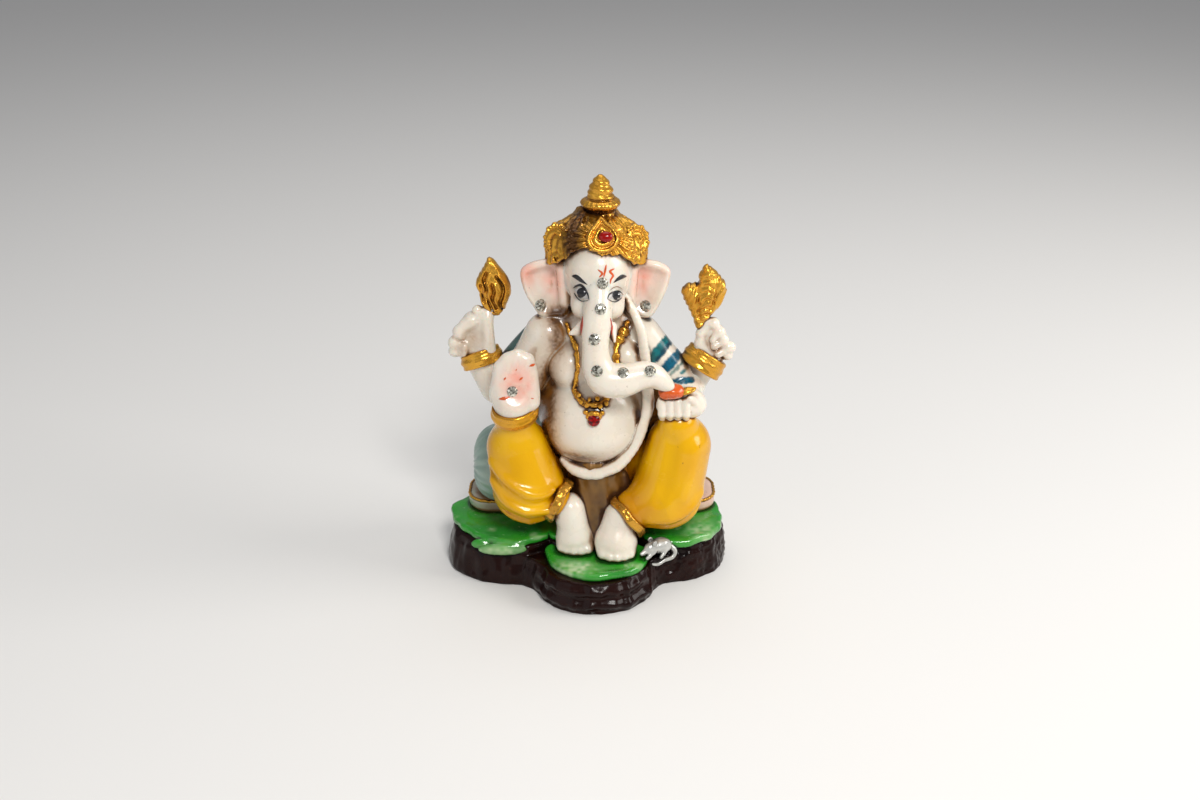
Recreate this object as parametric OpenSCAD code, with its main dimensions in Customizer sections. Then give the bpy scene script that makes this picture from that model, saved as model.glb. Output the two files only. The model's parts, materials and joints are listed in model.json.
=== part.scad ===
/* Seated elephant-headed idol on a lobed rock, with four arms, a crown and a mouse.
   Units are millimetres. +Z is up, the figure faces -Y, and X runs to its own left side.
   The origin is on the resting face, under the axis of the crown. */

/* [Base] */
// Height of the rock under the hips
rock_h = 9.2; // [8.6:0.1:9.8]
// Height of the rock under the feet
front_rock_h = 6.8; // [6.4:0.1:7.2]
// Thickness of the green leaf pads
leaf_t = 1.5; // [1.2:0.1:1.8]
// Radius of the front lobe of the rock
front_lobe_r = 12.8; // [12:0.1:13.4]
// Radius of the lobe on the figure's right
right_lobe_r = 13.6; // [13:0.1:14.2]
// Radius of the lobe on the figure's left
left_lobe_r = 12.2; // [11.6:0.1:12.8]

/* [Body] */
// Radius of the belly
belly_r = 12; // [11.6:0.1:12.4]
// Half width of the head at the eyes
head_r = 7.8; // [7.4:0.1:8.2]
// Radius of the trunk where it leaves the face
trunk_r = 3.1; // [2.9:0.1:3.4]
// Radius of the upper arms
arm_r = 4.4; // [4.1:0.1:4.7]
// Radius of the raised knees
knee_r = 6.8; // [6.4:0.1:7.2]
// Radius of the bolster behind the hips
bolster_r = 9.2; // [8.8:0.1:9.6]
// Thickness of the seat cushion
cushion_t = 3.3; // [3:0.1:3.6]

/* [Ornaments] */
// Radius of the crown at its widest band
crown_r = 10.7; // [10.3:0.1:11]
// Height of the finial on the crown
finial_h = 10; // [9.5:0.1:10.5]
// Half thickness of the metal band of each bangle
band_t = 0.85; // [0.7:0.05:1]
// Radius of the sacred thread
thread_r = 1.2; // [1.1:0.1:1.4]
// Radius of each clear stone
stone_r = 1.25; // [1.1:0.05:1.4]
// Radius of the two red stones
ruby_r = 1.35; // [1.2:0.05:1.5]

/* [Hidden] */
$fn = 24;
skin_fn = 20; // facets round each ball of a sculpted limb

SKIN = [0.93, 0.90, 0.84];
GOLD = [0.80, 0.58, 0.16];
YELLOW = [0.95, 0.70, 0.02];
TEAL = [0.05, 0.45, 0.52];
GREEN = [0.20, 0.60, 0.18];

// ---- heights of the base ----
rock_top = rock_h + leaf_t;
foot_z = front_rock_h + leaf_t;

// Plan of the rock: centre and radius of each lobe.
front_lobe = [0.4, -12.5];
front_side_lobe = [-3.4, -13.4];
front_side_r = 11.2;
right_lobe = [-20.8, 1.2];
left_lobe = [16.4, 1.6];
rear_right_lobe = [-11, 10];
rear_left_lobe = [8, 10.5];
rear_lobe_r = 11;
core = [-2, 2];
core_r = 14;
lobe_foot = 0.93; // share of its radius that a lobe keeps at its foot
lobe_brow = 0.95; // and at its upper rim

// ---- skeleton of the figure: each joint is a point, with the radius of the form there ----
belly_at = [-1.3, 0.8, 35.0];
cushion_x = [-30.9, 27.1];
cushion_y = [0.4, 15.6];
cushion_corner = 5;
cushion_top = rock_top + cushion_t;
piping_w = 0.9;
bolster_at = [-2.6, 7.4, cushion_top + bolster_r - 2.5];
bolster_half = 26;

function with_r(p, r) = [p[0], p[1], p[2], r];

chest_forms = [
    [-6.2, 0.2, 50.0, 7.0], [5, 0.2, 50.4, 7.0], [-0.5, 3, 56, 6.4], [-9.6, 3.6, 41, 5.2], [9.0, 3.6, 41, 5.2]
];
seat_forms = [[-9, 3, 20, 8.5], [6, 3, 20, 8.5]];

right_knee = with_r([-18.0, -5.6, 30.9], knee_r);
right_calf = [-15.7, -7.0, 21.9, 8.1];
right_shin = [-10.6, -9.4, 20.2, 4.4];
right_sleeve = [-18.1, -7.6, 37.2, 4.2];
left_knee = with_r([17.2, -5.4, 31.2], knee_r + 0.3);
left_calf = [14.7, -6.8, 20.2, 7.9];
left_shin = [7.6, -9.8, 17.8, 4.6];
left_sleeve = [16.8, -7.2, 36.4, 4.2];

right_ankle = [-4.9, -9.8, 16.2, 3.1];
right_toes = [-5.6, -11.3, foot_z + 2.4, 3.3];
left_ankle = [3.2, -11.0, 15.6, 3.2];
left_toes = [3.6, -13.8, foot_z + 2.6, 3.8];

head_top = [-0.5, 2.0, 69.4, head_r];
head_brow = [-0.5, -2.2, 71.0, 6.5];
head_jaw = [-0.5, -2.0, 65.0, 5.8];
head_chin = [-0.7, -6.2, 61.4, 3.2];
trunk_path = [
    [-0.2, -7.6, 68.0, 2.3], [-0.5, -9.8, 62.8, trunk_r], [-0.9, -12.1, 56.4, 2.85],
    [-0.4, -12.9, 52.8, 3.2], [2.2, -13.0, 50.0, 3.6], [7.2, -12.6, 50.5, 3.15],
    [10.9, -12.2, 50.6, 2.55], [14.4, -11.9, 48.2, 1.2]
];

front_right_arm_path = [[-11.2, 0.9, 54.4, 4.9], [-16.2, 0.6, 45.4, arm_r], [-18.4, -5.6, 41.0, 4.1]];
front_left_arm_path = [[16.6, 0.8, 45.4, arm_r - 0.3], [18.9, 0.2, 43.0, 3.9], [18.0, -6.0, 41.8, 3.4]];
rear_right_arm_path = [[-11.4, 5.0, 53.2, arm_r], [-22.0, 3.8, 41.6, 4.2], [-25.7, 1.5, 48.9, 3.7]];
rear_left_arm_path = [[9.6, 5.0, 51.6, arm_r], [19.2, 3.5, 41.8, 3.7], [22.2, 1.3, 48.0, 3.7]];

function point(f) = [f[0], f[1], f[2]];

crown_at = [-0.8, 1.8, 71.6];
crown_tilt = -17;
finial_at = [0.1, 2.2, 90 - finial_h];

bud_at = [-23.2, 0.4, 65.2];
conch_at = [22.0, 0.4, 63.6];
palm_at = [-18.2, -8.0, 46.6];
fist_at = [16.6, -8.8, 42.2];
sweet_at = [16.0, -10.6, 44.4];

// ---- small shared shapes ----
module ball(form) translate(point(form)) sphere(r = form[3]);

// A tapering limb through a list of forms.
module limb(forms, n = skin_fn)
    for (i = [0:len(forms) - 2])
        hull($fn = n) {
            translate(point(forms[i])) sphere(r = forms[i][3], $fn = n);
            translate(point(forms[i + 1])) sphere(r = forms[i + 1][3], $fn = n);
        }

// One rounded mass that wraps every form of a list.
module mass(forms, n = skin_fn)
    hull() for (f = forms) translate(point(f)) sphere(r = f[3], $fn = n);

// A sculpted form that is cut by its neighbours, taken as one closed skin.
module sculpted() resize([0, 0, 0]) children();

// Turns the local +Z axis to a direction.
module aim(direction) {
    d = direction / norm(direction);
    rotate([0, acos(d[2]), atan2(d[1], d[0])]) children();
}

// A cut stone with its pointed back sunk in the surface.
module stone(p, direction, r)
    translate(p) aim(direction)
        rotate_extrude() polygon([[0, -0.9], [r * 0.7, -0.9], [r, -0.3], [r, 0.1], [r * 0.55, 0.55], [0, 0.55]]);

// A flat band round an axis, with its corners taken off: radius, half width, half thickness.
module band(p, direction, ring_r, w, t)
    translate(p) aim(direction) rotate_extrude() polygon([
        [ring_r - t, -w * 0.7], [ring_r - t * 0.6, -w], [ring_r + t * 0.5, -w], [ring_r + t, -w * 0.6],
        [ring_r + t, w * 0.6], [ring_r + t * 0.5, w], [ring_r - t * 0.6, w], [ring_r - t, w * 0.7]
    ]);

// ---- base ----
module lobe(centre, r, h)
    translate(centre) rotate_extrude()
        polygon([[0, 0], [r * lobe_foot, 0], [r, h * 0.3], [r, h * 0.65], [r * lobe_brow, h], [0, h]]);

module high_rock() {
    lobe(right_lobe, right_lobe_r, rock_h);
    lobe(left_lobe, left_lobe_r, rock_h);
    lobe(rear_right_lobe, rear_lobe_r, rock_h);
    lobe(rear_left_lobe, rear_lobe_r, rock_h);
    translate(core) cylinder(r = core_r, h = rock_h);
}

module low_rock() {
    lobe(front_lobe, front_lobe_r, front_rock_h);
    lobe(front_side_lobe, front_side_r, front_rock_h);
}

module rock_base() color([0.12, 0.06, 0.05]) {
    high_rock();
    low_rock();
}

module pad(centre, r, z)
    translate([centre[0], centre[1], z]) rotate_extrude()
        polygon([[0, 0], [r - 0.5, 0], [r, 0.5], [r - 0.4, leaf_t], [0, leaf_t]]);

module right_pad() pad(right_lobe - [0.3, -0.6], right_lobe_r - 1, rock_h);
module left_pad() pad(left_lobe - [0.3, -0.6], left_lobe_r - 0.8, rock_h);

module leaf_front() color(GREEN) difference() {
    pad(front_lobe - [0.9, 0], front_lobe_r - 1.1, front_rock_h);
    high_rock();
}
module leaf_right() color(GREEN) right_pad();
module leaf_left() color(GREEN) left_pad();
module leaf_rear() color(GREEN) difference() {
    union() {
        pad(rear_right_lobe, rear_lobe_r - 0.8, rock_h);
        pad(rear_left_lobe, rear_lobe_r - 0.8, rock_h);
        pad(core, core_r, rock_h);
    }
    right_pad();
    left_pad();
}

// ---- seat ----
// Plan of the cushion, pulled in by an inset: a rectangle with four round corners.
module cushion_plan(inset) {
    r = cushion_corner - inset;
    low = [cushion_x[0] + inset, cushion_y[0] + inset];
    high = [cushion_x[1] - inset, cushion_y[1] - inset];
    translate([low[0] + r, low[1]]) square([high[0] - low[0] - 2 * r, high[1] - low[1]]);
    translate([low[0], low[1] + r]) square([high[0] - low[0], high[1] - low[1] - 2 * r]);
    for (x = [low[0] + r, high[0] - r], y = [low[1] + r, high[1] - r]) translate([x, y]) circle(r = r);
}

module cushion_form() translate([0, 0, rock_top]) linear_extrude(cushion_t) cushion_plan(0.5);
module piping_form()
    translate([0, 0, cushion_top - piping_w]) linear_extrude(piping_w) difference() {
        cushion_plan(0);
        cushion_plan(piping_w);
    }

module bolster_form()
    translate(bolster_at - [bolster_half, 0, 0]) rotate([0, 90, 0]) rotate_extrude()
        polygon([
            [0, 0], [bolster_r * 0.45, 0.4], [bolster_r * 0.8, 2.2], [bolster_r * 0.95, 4.8],
            [bolster_r, 8], [bolster_r, 2 * bolster_half - 8], [bolster_r * 0.95, 2 * bolster_half - 4.8],
            [bolster_r * 0.8, 2 * bolster_half - 2.2], [bolster_r * 0.45, 2 * bolster_half - 0.4],
            [0, 2 * bolster_half]
        ]);

module seat_cushion() color([0.90, 0.80, 0.72]) difference() {
    cushion_form();
    piping_form();
}
module cushion_piping() color(GOLD) piping_form();
module back_bolster() color([0.72, 0.86, 0.80]) difference() {
    bolster_form();
    translate([-50, -50, 0]) cube([100, 100, cushion_top]);
    belly_form();
}

// ---- body ----
module belly_form() translate(belly_at) sphere(r = belly_r);
module belly() color(SKIN) difference() {
    belly_form();
    pendant_ruby_form();
}

module head_form() mass([head_top, head_brow, head_jaw, head_chin]);
module chest_form() mass(chest_forms, 18);
module seat_form() mass(seat_forms);
module right_leg_form() mass([right_sleeve, right_knee, right_calf, right_shin]);
module left_leg_form() mass([left_sleeve, left_knee, left_calf, left_shin]);
module right_foot_form() limb([right_ankle, right_toes]);
module left_foot_form() limb([left_ankle, left_toes]);

module chest() color(SKIN) sculpted() difference() {
    chest_form();
    belly_form();
    head_form();
}

// Everything the seated figure leans on or rests on behind.
module seat_block() {
    cushion_form();
    piping_form();
    bolster_form();
}
module ground() {
    translate([-50, -50, 0]) cube([100, 100, rock_top]);
}
// The rock and the leaves under the feet, where the front steps down.
module front_ground() {
    translate([-50, -50, 0]) cube([100, 100, foot_z]);
    high_rock();
    right_pad();
    left_pad();
}

module dhoti_seat() color(YELLOW) sculpted() difference() {
    seat_form();
    ground();
    belly_form();
    seat_block();
    right_leg_form();
    left_leg_form();
}

module dhoti_right_leg() color(YELLOW) sculpted() difference() {
    right_leg_form();
    front_ground();
    belly_form();
    seat_block();
    right_hem_form();
}

module dhoti_left_leg() color(YELLOW) sculpted() difference() {
    left_leg_form();
    front_ground();
    belly_form();
    seat_block();
    left_hem_form();
}

// Cloth that falls between the shins, from under the belly to the leaf.
module pleat_form() hull() {
    translate([-1.2, -6.5, 24]) sphere(r = 5);
    translate([-0.4, -8.6, foot_z + 2]) sphere(r = 2.4);
}
module dhoti_pleat() color([0.62, 0.45, 0.10]) sculpted() difference() {
    pleat_form();
    front_ground();
    belly_form();
    seat_form();
    right_leg_form();
    left_leg_form();
    right_foot_form();
    left_foot_form();
    thread_form();
    right_hem_form();
    left_hem_form();
}

module right_hem_form() band([-9.2, -9.7, 20.0], [0.86, -0.22, -0.44], 4.3, 0.9, 0.8);
module left_hem_form() band([6.0, -10.2, 16.2], [-0.76, -0.30, -0.58], 4.7, 0.8, 0.8);
module right_hem() color(GOLD) right_hem_form();
module left_hem() color(GOLD) left_hem_form();

module right_foot() color(SKIN) sculpted() difference() {
    right_foot_form();
    front_ground();
    right_leg_form();
    right_hem_form();
    left_foot_form();
}
module left_foot() color(SKIN) sculpted() difference() {
    left_foot_form();
    front_ground();
    left_leg_form();
    left_hem_form();
}

// ---- head ----
module crown_form()
    translate(crown_at) rotate([crown_tilt, 0, 0]) rotate_extrude()
        polygon([
            [0, 0], [crown_r * 0.98, 0], [crown_r, 2.2], [crown_r * 0.97, 4], [crown_r * 0.9, 5.8],
            [crown_r * 0.77, 7.5], [crown_r * 0.6, 8.8], [4, 10.8], [0, 10.8]
        ]);

module head() color(SKIN) sculpted() difference() {
    head_form();
    crown_form();
    for (side = [-1, 1]) tusk_form(side);
    forehead_stone_form();
}

module trunk() color(SKIN) sculpted() difference() {
    limb(trunk_path);
    head_form();
    trunk_stone_forms();
    modak_form();
}

// An ear plate: a wide upper lobe that narrows to a hanging tip.
module ear_form(side, root_x, out_x, top_z)
    hull() {
        translate([side * root_x, 0.8, top_z - 2.6]) sphere(r = 1.6, $fn = 16);
        translate([side * (out_x - 1.7), 0.2, top_z - 1.6]) sphere(r = 1.5, $fn = 16);
        translate([side * (out_x - 1.5), 0.0, top_z - 5.2]) sphere(r = 1.3, $fn = 16);
        translate([side * (root_x + 3.6), -0.4, top_z - 10.4]) sphere(r = 1.3, $fn = 16);
        translate([side * root_x, 0.6, top_z - 9.4]) sphere(r = 1.3, $fn = 16);
    }

module right_ear_form() ear_form(-1, 7.8, 16.4, 71.6);
module left_ear_form() ear_form(1, 6.8, 14.7, 70.6);
module right_ear() color([0.94, 0.80, 0.74]) sculpted() difference() {
    right_ear_form();
    head_form();
    chest_form();
    crown_form();
    ear_stone_forms();
}
module left_ear() color([0.94, 0.80, 0.74]) sculpted() difference() {
    left_ear_form();
    head_form();
    chest_form();
    crown_form();
    ear_stone_forms();
}

module tusk_form(side)
    hull() {
        translate([side * 2.8 - 0.4, -7.6, 59.6]) sphere(r = 1.6, $fn = 16);
        translate(side < 0 ? [-6.1, -8.6, 58.7] : [3.2, -9.6, 57.5]) sphere(r = 0.6, $fn = 16);
    }
module tusk(side) sculpted() difference() {
    tusk_form(side);
    limb(trunk_path);
}
module right_tusk() color(SKIN) tusk(-1);
module left_tusk() color(SKIN) tusk(1);

// ---- crown ----
module rosette_form(x, z, r, turn)
    translate([x, -0.6, z]) rotate([90, 0, turn]) rotate_extrude()
        polygon([[0, -1.6], [r * 0.8, -1.6], [r, -0.6], [r, 0.6], [r * 0.7, 1.8], [0, 2.2]]);

module right_rosette_form() rosette_form(-8.2, 76.6, 3.8, -38);
module left_rosette_form() rosette_form(6.8, 76.4, 3.7, 38);
module crest_form() hull() {
    translate([0.5, -4.6, 77.6]) sphere(r = 2.9, $fn = 16);
    translate([0.2, -1.6, 81.6]) sphere(r = 1.2, $fn = 16);
}
module crown() color(GOLD) difference() {
    crown_form();
    right_rosette_form();
    left_rosette_form();
}
module crown_crest() color(GOLD) sculpted() difference() {
    crest_form();
    crown_form();
    head_form();
    crown_ruby_form();
}
module crown_right_rosette() color(GOLD) right_rosette_form();
module crown_left_rosette() color(GOLD) left_rosette_form();
module crown_finial() color(GOLD) difference() {
    translate(finial_at) rotate_extrude() polygon([
        [0, 0], [5.6, 0], [4.2, 0.8], [3.1, 1.6], [3, 2.2], [4.0, 3.3], [4.25, 3.8], [3.5, 4.7], [2.75, 5],
        [2.7, 6.2], [2.1, 7.7], [1.1, finial_h - 0.6], [0.5, finial_h - 0.1], [0, finial_h]
    ]);
    crown_form();
}

// ---- arms and hands ----
module rear_right_bangle_form() band([-25.8, 1.4, 49.2], [-0.31, 0.26, 0.91], 3.8, 1.7, band_t);
module rear_left_bangle_form() band([22.6, 1.0, 48.5], [0.54, 0.22, 0.81], 4.0, 2.0, band_t);
module front_right_bangle_form() band([-18.3, -8.2, 40.6], [-0.10, -0.24, 0.96], 4.3, 1.5, band_t);
// Everything from the top edge of that bangle down, for the palm that stands on it.
module front_right_cuff_form()
    translate([-18.3, -8.2, 40.6]) aim([-0.10, -0.24, 0.96]) translate([0, 0, -6]) cylinder(r = 8, h = 7);

module shawl_right_form() limb([rear_right_arm_path[0], [-18.4, 4.2, 46.0, arm_r]]);
module shawl_left_form() mass([
    [9.2, 1.2, 54.0, arm_r], [14.2, 1.0, 47.2, arm_r], [9.4, 4.6, 52.4, arm_r], [14.6, 3.8, 46.6, arm_r],
    [17.0, 1.0, 44.8, arm_r - 0.3]
]);

module arm_cuts() {
    chest_form();
    belly_form();
    head_form();
    seat_block();
    right_leg_form();
    left_leg_form();
}

module rear_right_arm() color(SKIN) sculpted() difference() {
    limb([rear_right_arm_path[1], rear_right_arm_path[2]]);
    arm_cuts();
    limb(front_right_arm_path);
    shawl_right_form();
    rear_right_bangle_form();
}
module rear_left_arm() color(SKIN) sculpted() difference() {
    limb([rear_left_arm_path[1], rear_left_arm_path[2]]);
    arm_cuts();
    limb(front_left_arm_path);
    shawl_left_form();
    rear_left_bangle_form();
}
module front_right_arm() color(SKIN) sculpted() difference() {
    limb(front_right_arm_path);
    arm_cuts();
    front_right_bangle_form();
}
module front_left_arm() color(SKIN) sculpted() difference() {
    limb(front_left_arm_path);
    arm_cuts();
    left_ear_form();
}
module rear_right_bangle() color(GOLD) rear_right_bangle_form();
module rear_left_bangle() color(GOLD) rear_left_bangle_form();
module front_right_bangle() color(GOLD) front_right_bangle_form();

module shawl_right() color(TEAL) sculpted() difference() {
    shawl_right_form();
    arm_cuts();
    limb(front_right_arm_path);
}
module shawl_left() color(TEAL) sculpted() difference() {
    shawl_left_form();
    arm_cuts();
    limb(front_left_arm_path);
}
// The shawl's length across the shoulder blades.
module shawl_back() color(TEAL) sculpted() difference() {
    hull() {
        translate([-9.5, 6.6, 52.4]) sphere(r = 4.2);
        translate([6.8, 6.6, 52.0]) sphere(r = 4.2);
        translate([-0.4, 8.0, 48]) sphere(r = 4.2);
    }
    arm_cuts();
    shawl_right_form();
    shawl_left_form();
    limb(front_right_arm_path);
    limb(front_left_arm_path);
}

// A raised hand seen from the front: palm, one finger that holds the emblem, three curled fingers.
module raised_hand_form(side, wrist, hold)
    union() {
        mass([with_r(wrist + [side * 0.4, -0.6, 3.2], 3.2), with_r(wrist + [side * 1.6, -0.4, 5.2], 2.7)], 16);
        limb([with_r(wrist + [-side * 0.8, -0.8, 5.0], 1.7), with_r(wrist + [-side * hold[0], -0.9, hold[1]], 1.4)], 16);
        limb([with_r(wrist + [side * 1.2, -0.8, 6.0], 1.5), with_r(wrist + [-side * (hold[0] - 2.6), -1.2, hold[1] - 0.8], 1.2)], 16);
        limb([with_r(wrist + [side * 2.6, -1.4, 6.2], 1.5), with_r(wrist + [side * 4.6, -1.4, 5.2], 1.3)], 16);
        limb([with_r(wrist + [side * 2.8, -1.0, 4.4], 1.4), with_r(wrist + [side * 4.8, -1.2, 3.2], 1.3)], 16);
        limb([with_r(wrist + [side * 2.2, -0.8, 2.8], 1.4), with_r(wrist + [side * 4.2, -1.0, 1.6], 1.2)], 16);
    }

module rear_right_hand() color(SKIN) sculpted() difference() {
    raised_hand_form(-1, point(rear_right_arm_path[2]) + [0, -1, 0.8], [3.2, 10.8]);
    limb([rear_right_arm_path[1], rear_right_arm_path[2]]);
    rear_right_bangle_form();
    bud_form();
}
module rear_left_hand() color(SKIN) sculpted() difference() {
    raised_hand_form(1, point(rear_left_arm_path[2]) + [0, -1, 0.8], [1.6, 8.8]);
    limb([rear_left_arm_path[1], rear_left_arm_path[2]]);
    rear_left_bangle_form();
    conch_form();
}

module bud_form() hull() {
    translate(bud_at + [0.1, 0, 5.8]) sphere(r = 0.8, $fn = 16);
    translate(bud_at + [0.4, 0, 2.6]) sphere(r = 2.1, $fn = 16);
    translate(bud_at + [-1.4, 0, -0.4]) sphere(r = 2.0, $fn = 16);
    translate(bud_at + [1.8, 0, -0.6]) sphere(r = 2.0, $fn = 16);
    translate(bud_at + [0.6, 0, -4.2]) sphere(r = 1.7, $fn = 16);
}
module conch_form() hull() {
    translate(conch_at + [0.9, 0, 5.4]) sphere(r = 1.1, $fn = 16);
    translate(conch_at + [-2.6, 0, 1.6]) sphere(r = 1.6, $fn = 16);
    translate(conch_at + [1.0, 0, 0.6]) sphere(r = 2.6, $fn = 16);
    translate(conch_at + [3.0, 0, 1.0]) sphere(r = 1.8, $fn = 16);
    translate(conch_at + [-0.9, 0, -6.0]) sphere(r = 1.2, $fn = 16);
}
module lotus_bud() color(GOLD) bud_form();
module conch() color(GOLD) conch_form();

// The open hand in front of the right shoulder: a palm and four straight fingers.
module open_hand_form()
    union() {
        mass([
            with_r(palm_at + [0, 0.8, -5.8], 4.1), with_r(palm_at + [0, 0, -2.2], 3.7), with_r(palm_at + [-2.6, 0, 1.2], 2.4),
            with_r(palm_at + [2.6, 0, 1.4], 2.4)
        ], 16);
        for (i = [0:3])
            limb([
                with_r(palm_at + [-3.3 + 2.1 * i, 0.2, 1.6], 1.5),
                with_r(palm_at + [-2.6 + 1.9 * i, 0.6, 5.6 + sin(60 * i + 20)], 1.3)
            ], 16);
    }
module front_right_hand() color(SKIN) sculpted() difference() {
    open_hand_form();
    front_right_cuff_form();
    limb(front_right_arm_path);
    right_leg_form();
    palm_stone_form();
}

// The fist that holds the dish: four fingers side by side, pointing down.
module fist_form()
    union() {
        mass([with_r(fist_at + [-1.6, 0.6, 0], 3.1), with_r(fist_at + [2.6, 1.4, 0], 3.2)], 16);
        for (i = [0:3])
            limb([
                with_r(fist_at + [-3.5 + 1.7 * i, -2.0, 1.8], 1.05),
                with_r(fist_at + [-3.4 + 1.7 * i, -2.4, -1.8], 0.95)
            ], 12);
    }
module front_left_hand() color(SKIN) sculpted() difference() {
    fist_form();
    limb(front_left_arm_path);
    left_leg_form();
    belly_form();
    dish_form();
}

module dish_form()
    translate(sweet_at) rotate_extrude() polygon([[0, 0], [2.0, 0], [3.6, 1.2], [0, 1.2]]);
module modak_form()
    translate(sweet_at + [0, 0, 1.2]) rotate_extrude()
        polygon([[0, 0], [2.6, 0], [2.7, 0.6], [2.2, 1.5], [1.1, 2.2], [0, 2.5]]);
module modak_dish() color(GOLD) dish_form();
module modak() color([0.85, 0.22, 0.04]) modak_form();

// ---- thread, chain and stones ----
// The sacred thread hangs from the left shoulder and passes round under the belly.
thread_path = [
    [6.4, -2.5, 62.8], [8.8, -4.2, 57.4], [9.6, -4.9, 51.6], [10.2, -5.3, 45.4], [10.4, -6.1, 40.4],
    [8.2, -7.8, 34.2], [4.6, -9.0, 28.8], [-2.2, -9.1, 26.0], [-8.0, -6.6, 28.2]
];
module thread_form() limb([for (p = thread_path) with_r(p, thread_r)], 10);
module sacred_thread() color(SKIN) sculpted() difference() {
    thread_form();
    belly_form();
    chest_form();
    head_form();
    limb(trunk_path);
    limb(front_left_arm_path);
    right_leg_form();
    left_leg_form();
    left_ear_form();
    fist_form();
}

chain_r = 0.6;
chain_path = [
    [-7.0, -1.8, 58.1], [-5.3, -4.4, 53.4], [-4.9, -6.9, 49.0], [-5.4, -6.8, 44.6], [-3.4, -8.6, 42.8],
    [0.2, -8.9, 42.6], [2.0, -7.4, 44.0], [3.2, -6.8, 49.4], [3.6, -5.2, 53.6], [5.6, -2.2, 58.0]
];
module chain_form() {
    limb([for (p = chain_path) with_r(p, chain_r)], 8);
    translate([3.5, -5.4, 53.6]) sphere(r = 1.4, $fn = 12);
}
module necklace() color(GOLD) sculpted() difference() {
    chain_form();
    belly_form();
    chest_form();
    head_form();
    limb(trunk_path);
    pendant_form();
    pendant_ruby_form();
}

module pendant_form() hull() {
    translate([-1.3, -9.0, 42.8]) sphere(r = 1.5, $fn = 16);
    translate([-1.3, -9.5, 40.1]) sphere(r = 1.8, $fn = 16);
}
module pendant() color(GOLD) sculpted() difference() {
    pendant_form();
    belly_form();
    pendant_ruby_form();
}

module pendant_ruby_form() stone([-1.3, -11.0, 39.9], [0, -0.91, 0.41], ruby_r);
module crown_ruby_form() stone([1.2, -6.9, 79.2], [0.05, -0.87, 0.5], ruby_r);
module forehead_stone_form() stone([0.5, -8.6, 70.0], [0.1, -0.95, 0.3], stone_r);
module palm_stone_form() stone([-18.5, -11.3, 46.5], [0.1, -0.94, 0.33], stone_r);
module trunk_stone_forms() {
    stone([0.1, -11.8, 65.3], [0.1, -0.9, 0.42], stone_r);
    stone([-1.1, -14.0, 59.6], [-0.06, -0.96, 0.28], stone_r);
    stone([-0.6, -16.0, 53.3], [-0.07, -0.97, 0.22], stone_r);
    stone([4.8, -15.4, 52.5], [0.05, -0.7, 0.71], stone_r);
    stone([10.4, -14.2, 52.4], [0.2, -0.76, 0.61], stone_r);
}
module ear_stone_forms() {
    stone([-12.7, -1.2, 62.2], [0, -0.97, 0.25], stone_r);
    stone([9.7, -1.0, 61.9], [0, -0.95, 0.33], stone_r);
}
module pendant_ruby() color([0.5, 0, 0.02]) pendant_ruby_form();
module crown_ruby() color([0.5, 0, 0.02]) crown_ruby_form();
module forehead_stone() color([0.8, 0.8, 0.78]) forehead_stone_form();
module palm_stone() color([0.8, 0.8, 0.78]) palm_stone_form();
module trunk_stones() color([0.8, 0.8, 0.78]) trunk_stone_forms();
module ear_stones() color([0.8, 0.8, 0.78]) ear_stone_forms();

// ---- mouse ----
module mouse_form() {
    hull() {
        translate([14.4, -12.2, 10.0]) sphere(r = 2.0, $fn = 16);
        translate([12.2, -13.4, 10.0]) sphere(r = 1.9, $fn = 16);
    }
    hull() {
        translate([11.2, -14.2, 10.4]) sphere(r = 1.4, $fn = 16);
        translate([9.4, -15.4, 9.7]) sphere(r = 0.6, $fn = 16);
    }
    for (p = [[11.0, -13.1, 11.5], [12.0, -14.7, 11.5]]) translate(p) sphere(r = 0.7, $fn = 16);
}
module mouse() color("silver") sculpted() difference() {
    mouse_form();
    front_ground();
    left_foot_form();
    left_leg_form();
    low_rock();
}
module mouse_tail() color("silver") sculpted() difference() {
    limb([[15.4, -11.9, 9.6, 0.7], [16.5, -12.2, 8.5, 0.6], [15.6, -13.0, 7.3, 0.5], [13.8, -14.2, 7.1, 0.4]], 12);
    mouse_form();
    high_rock();
    low_rock();
}

rock_base();
leaf_front();
leaf_right();
leaf_left();
leaf_rear();
seat_cushion();
cushion_piping();
back_bolster();
belly();
chest();
dhoti_seat();
dhoti_right_leg();
dhoti_left_leg();
dhoti_pleat();
right_hem();
left_hem();
right_foot();
left_foot();
head();
trunk();
right_ear();
left_ear();
right_tusk();
left_tusk();
crown();
crown_crest();
crown_right_rosette();
crown_left_rosette();
crown_finial();
rear_right_arm();
rear_left_arm();
rear_right_bangle();
rear_left_bangle();
rear_right_hand();
rear_left_hand();
lotus_bud();
conch();
front_right_arm();
front_left_arm();
front_right_bangle();
front_right_hand();
front_left_hand();
modak_dish();
modak();
shawl_right();
shawl_left();
shawl_back();
sacred_thread();
necklace();
pendant();
pendant_ruby();
crown_ruby();
forehead_stone();
trunk_stones();
ear_stones();
palm_stone();
mouse();
mouse_tail();
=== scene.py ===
"""Looks of the seated elephant-headed idol. Lengths in the modelling code are millimetres in the CAD frame:
-Y is the front, +X is the figure's own left side, +Z is up."""

import json
import math
from functools import reduce

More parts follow.
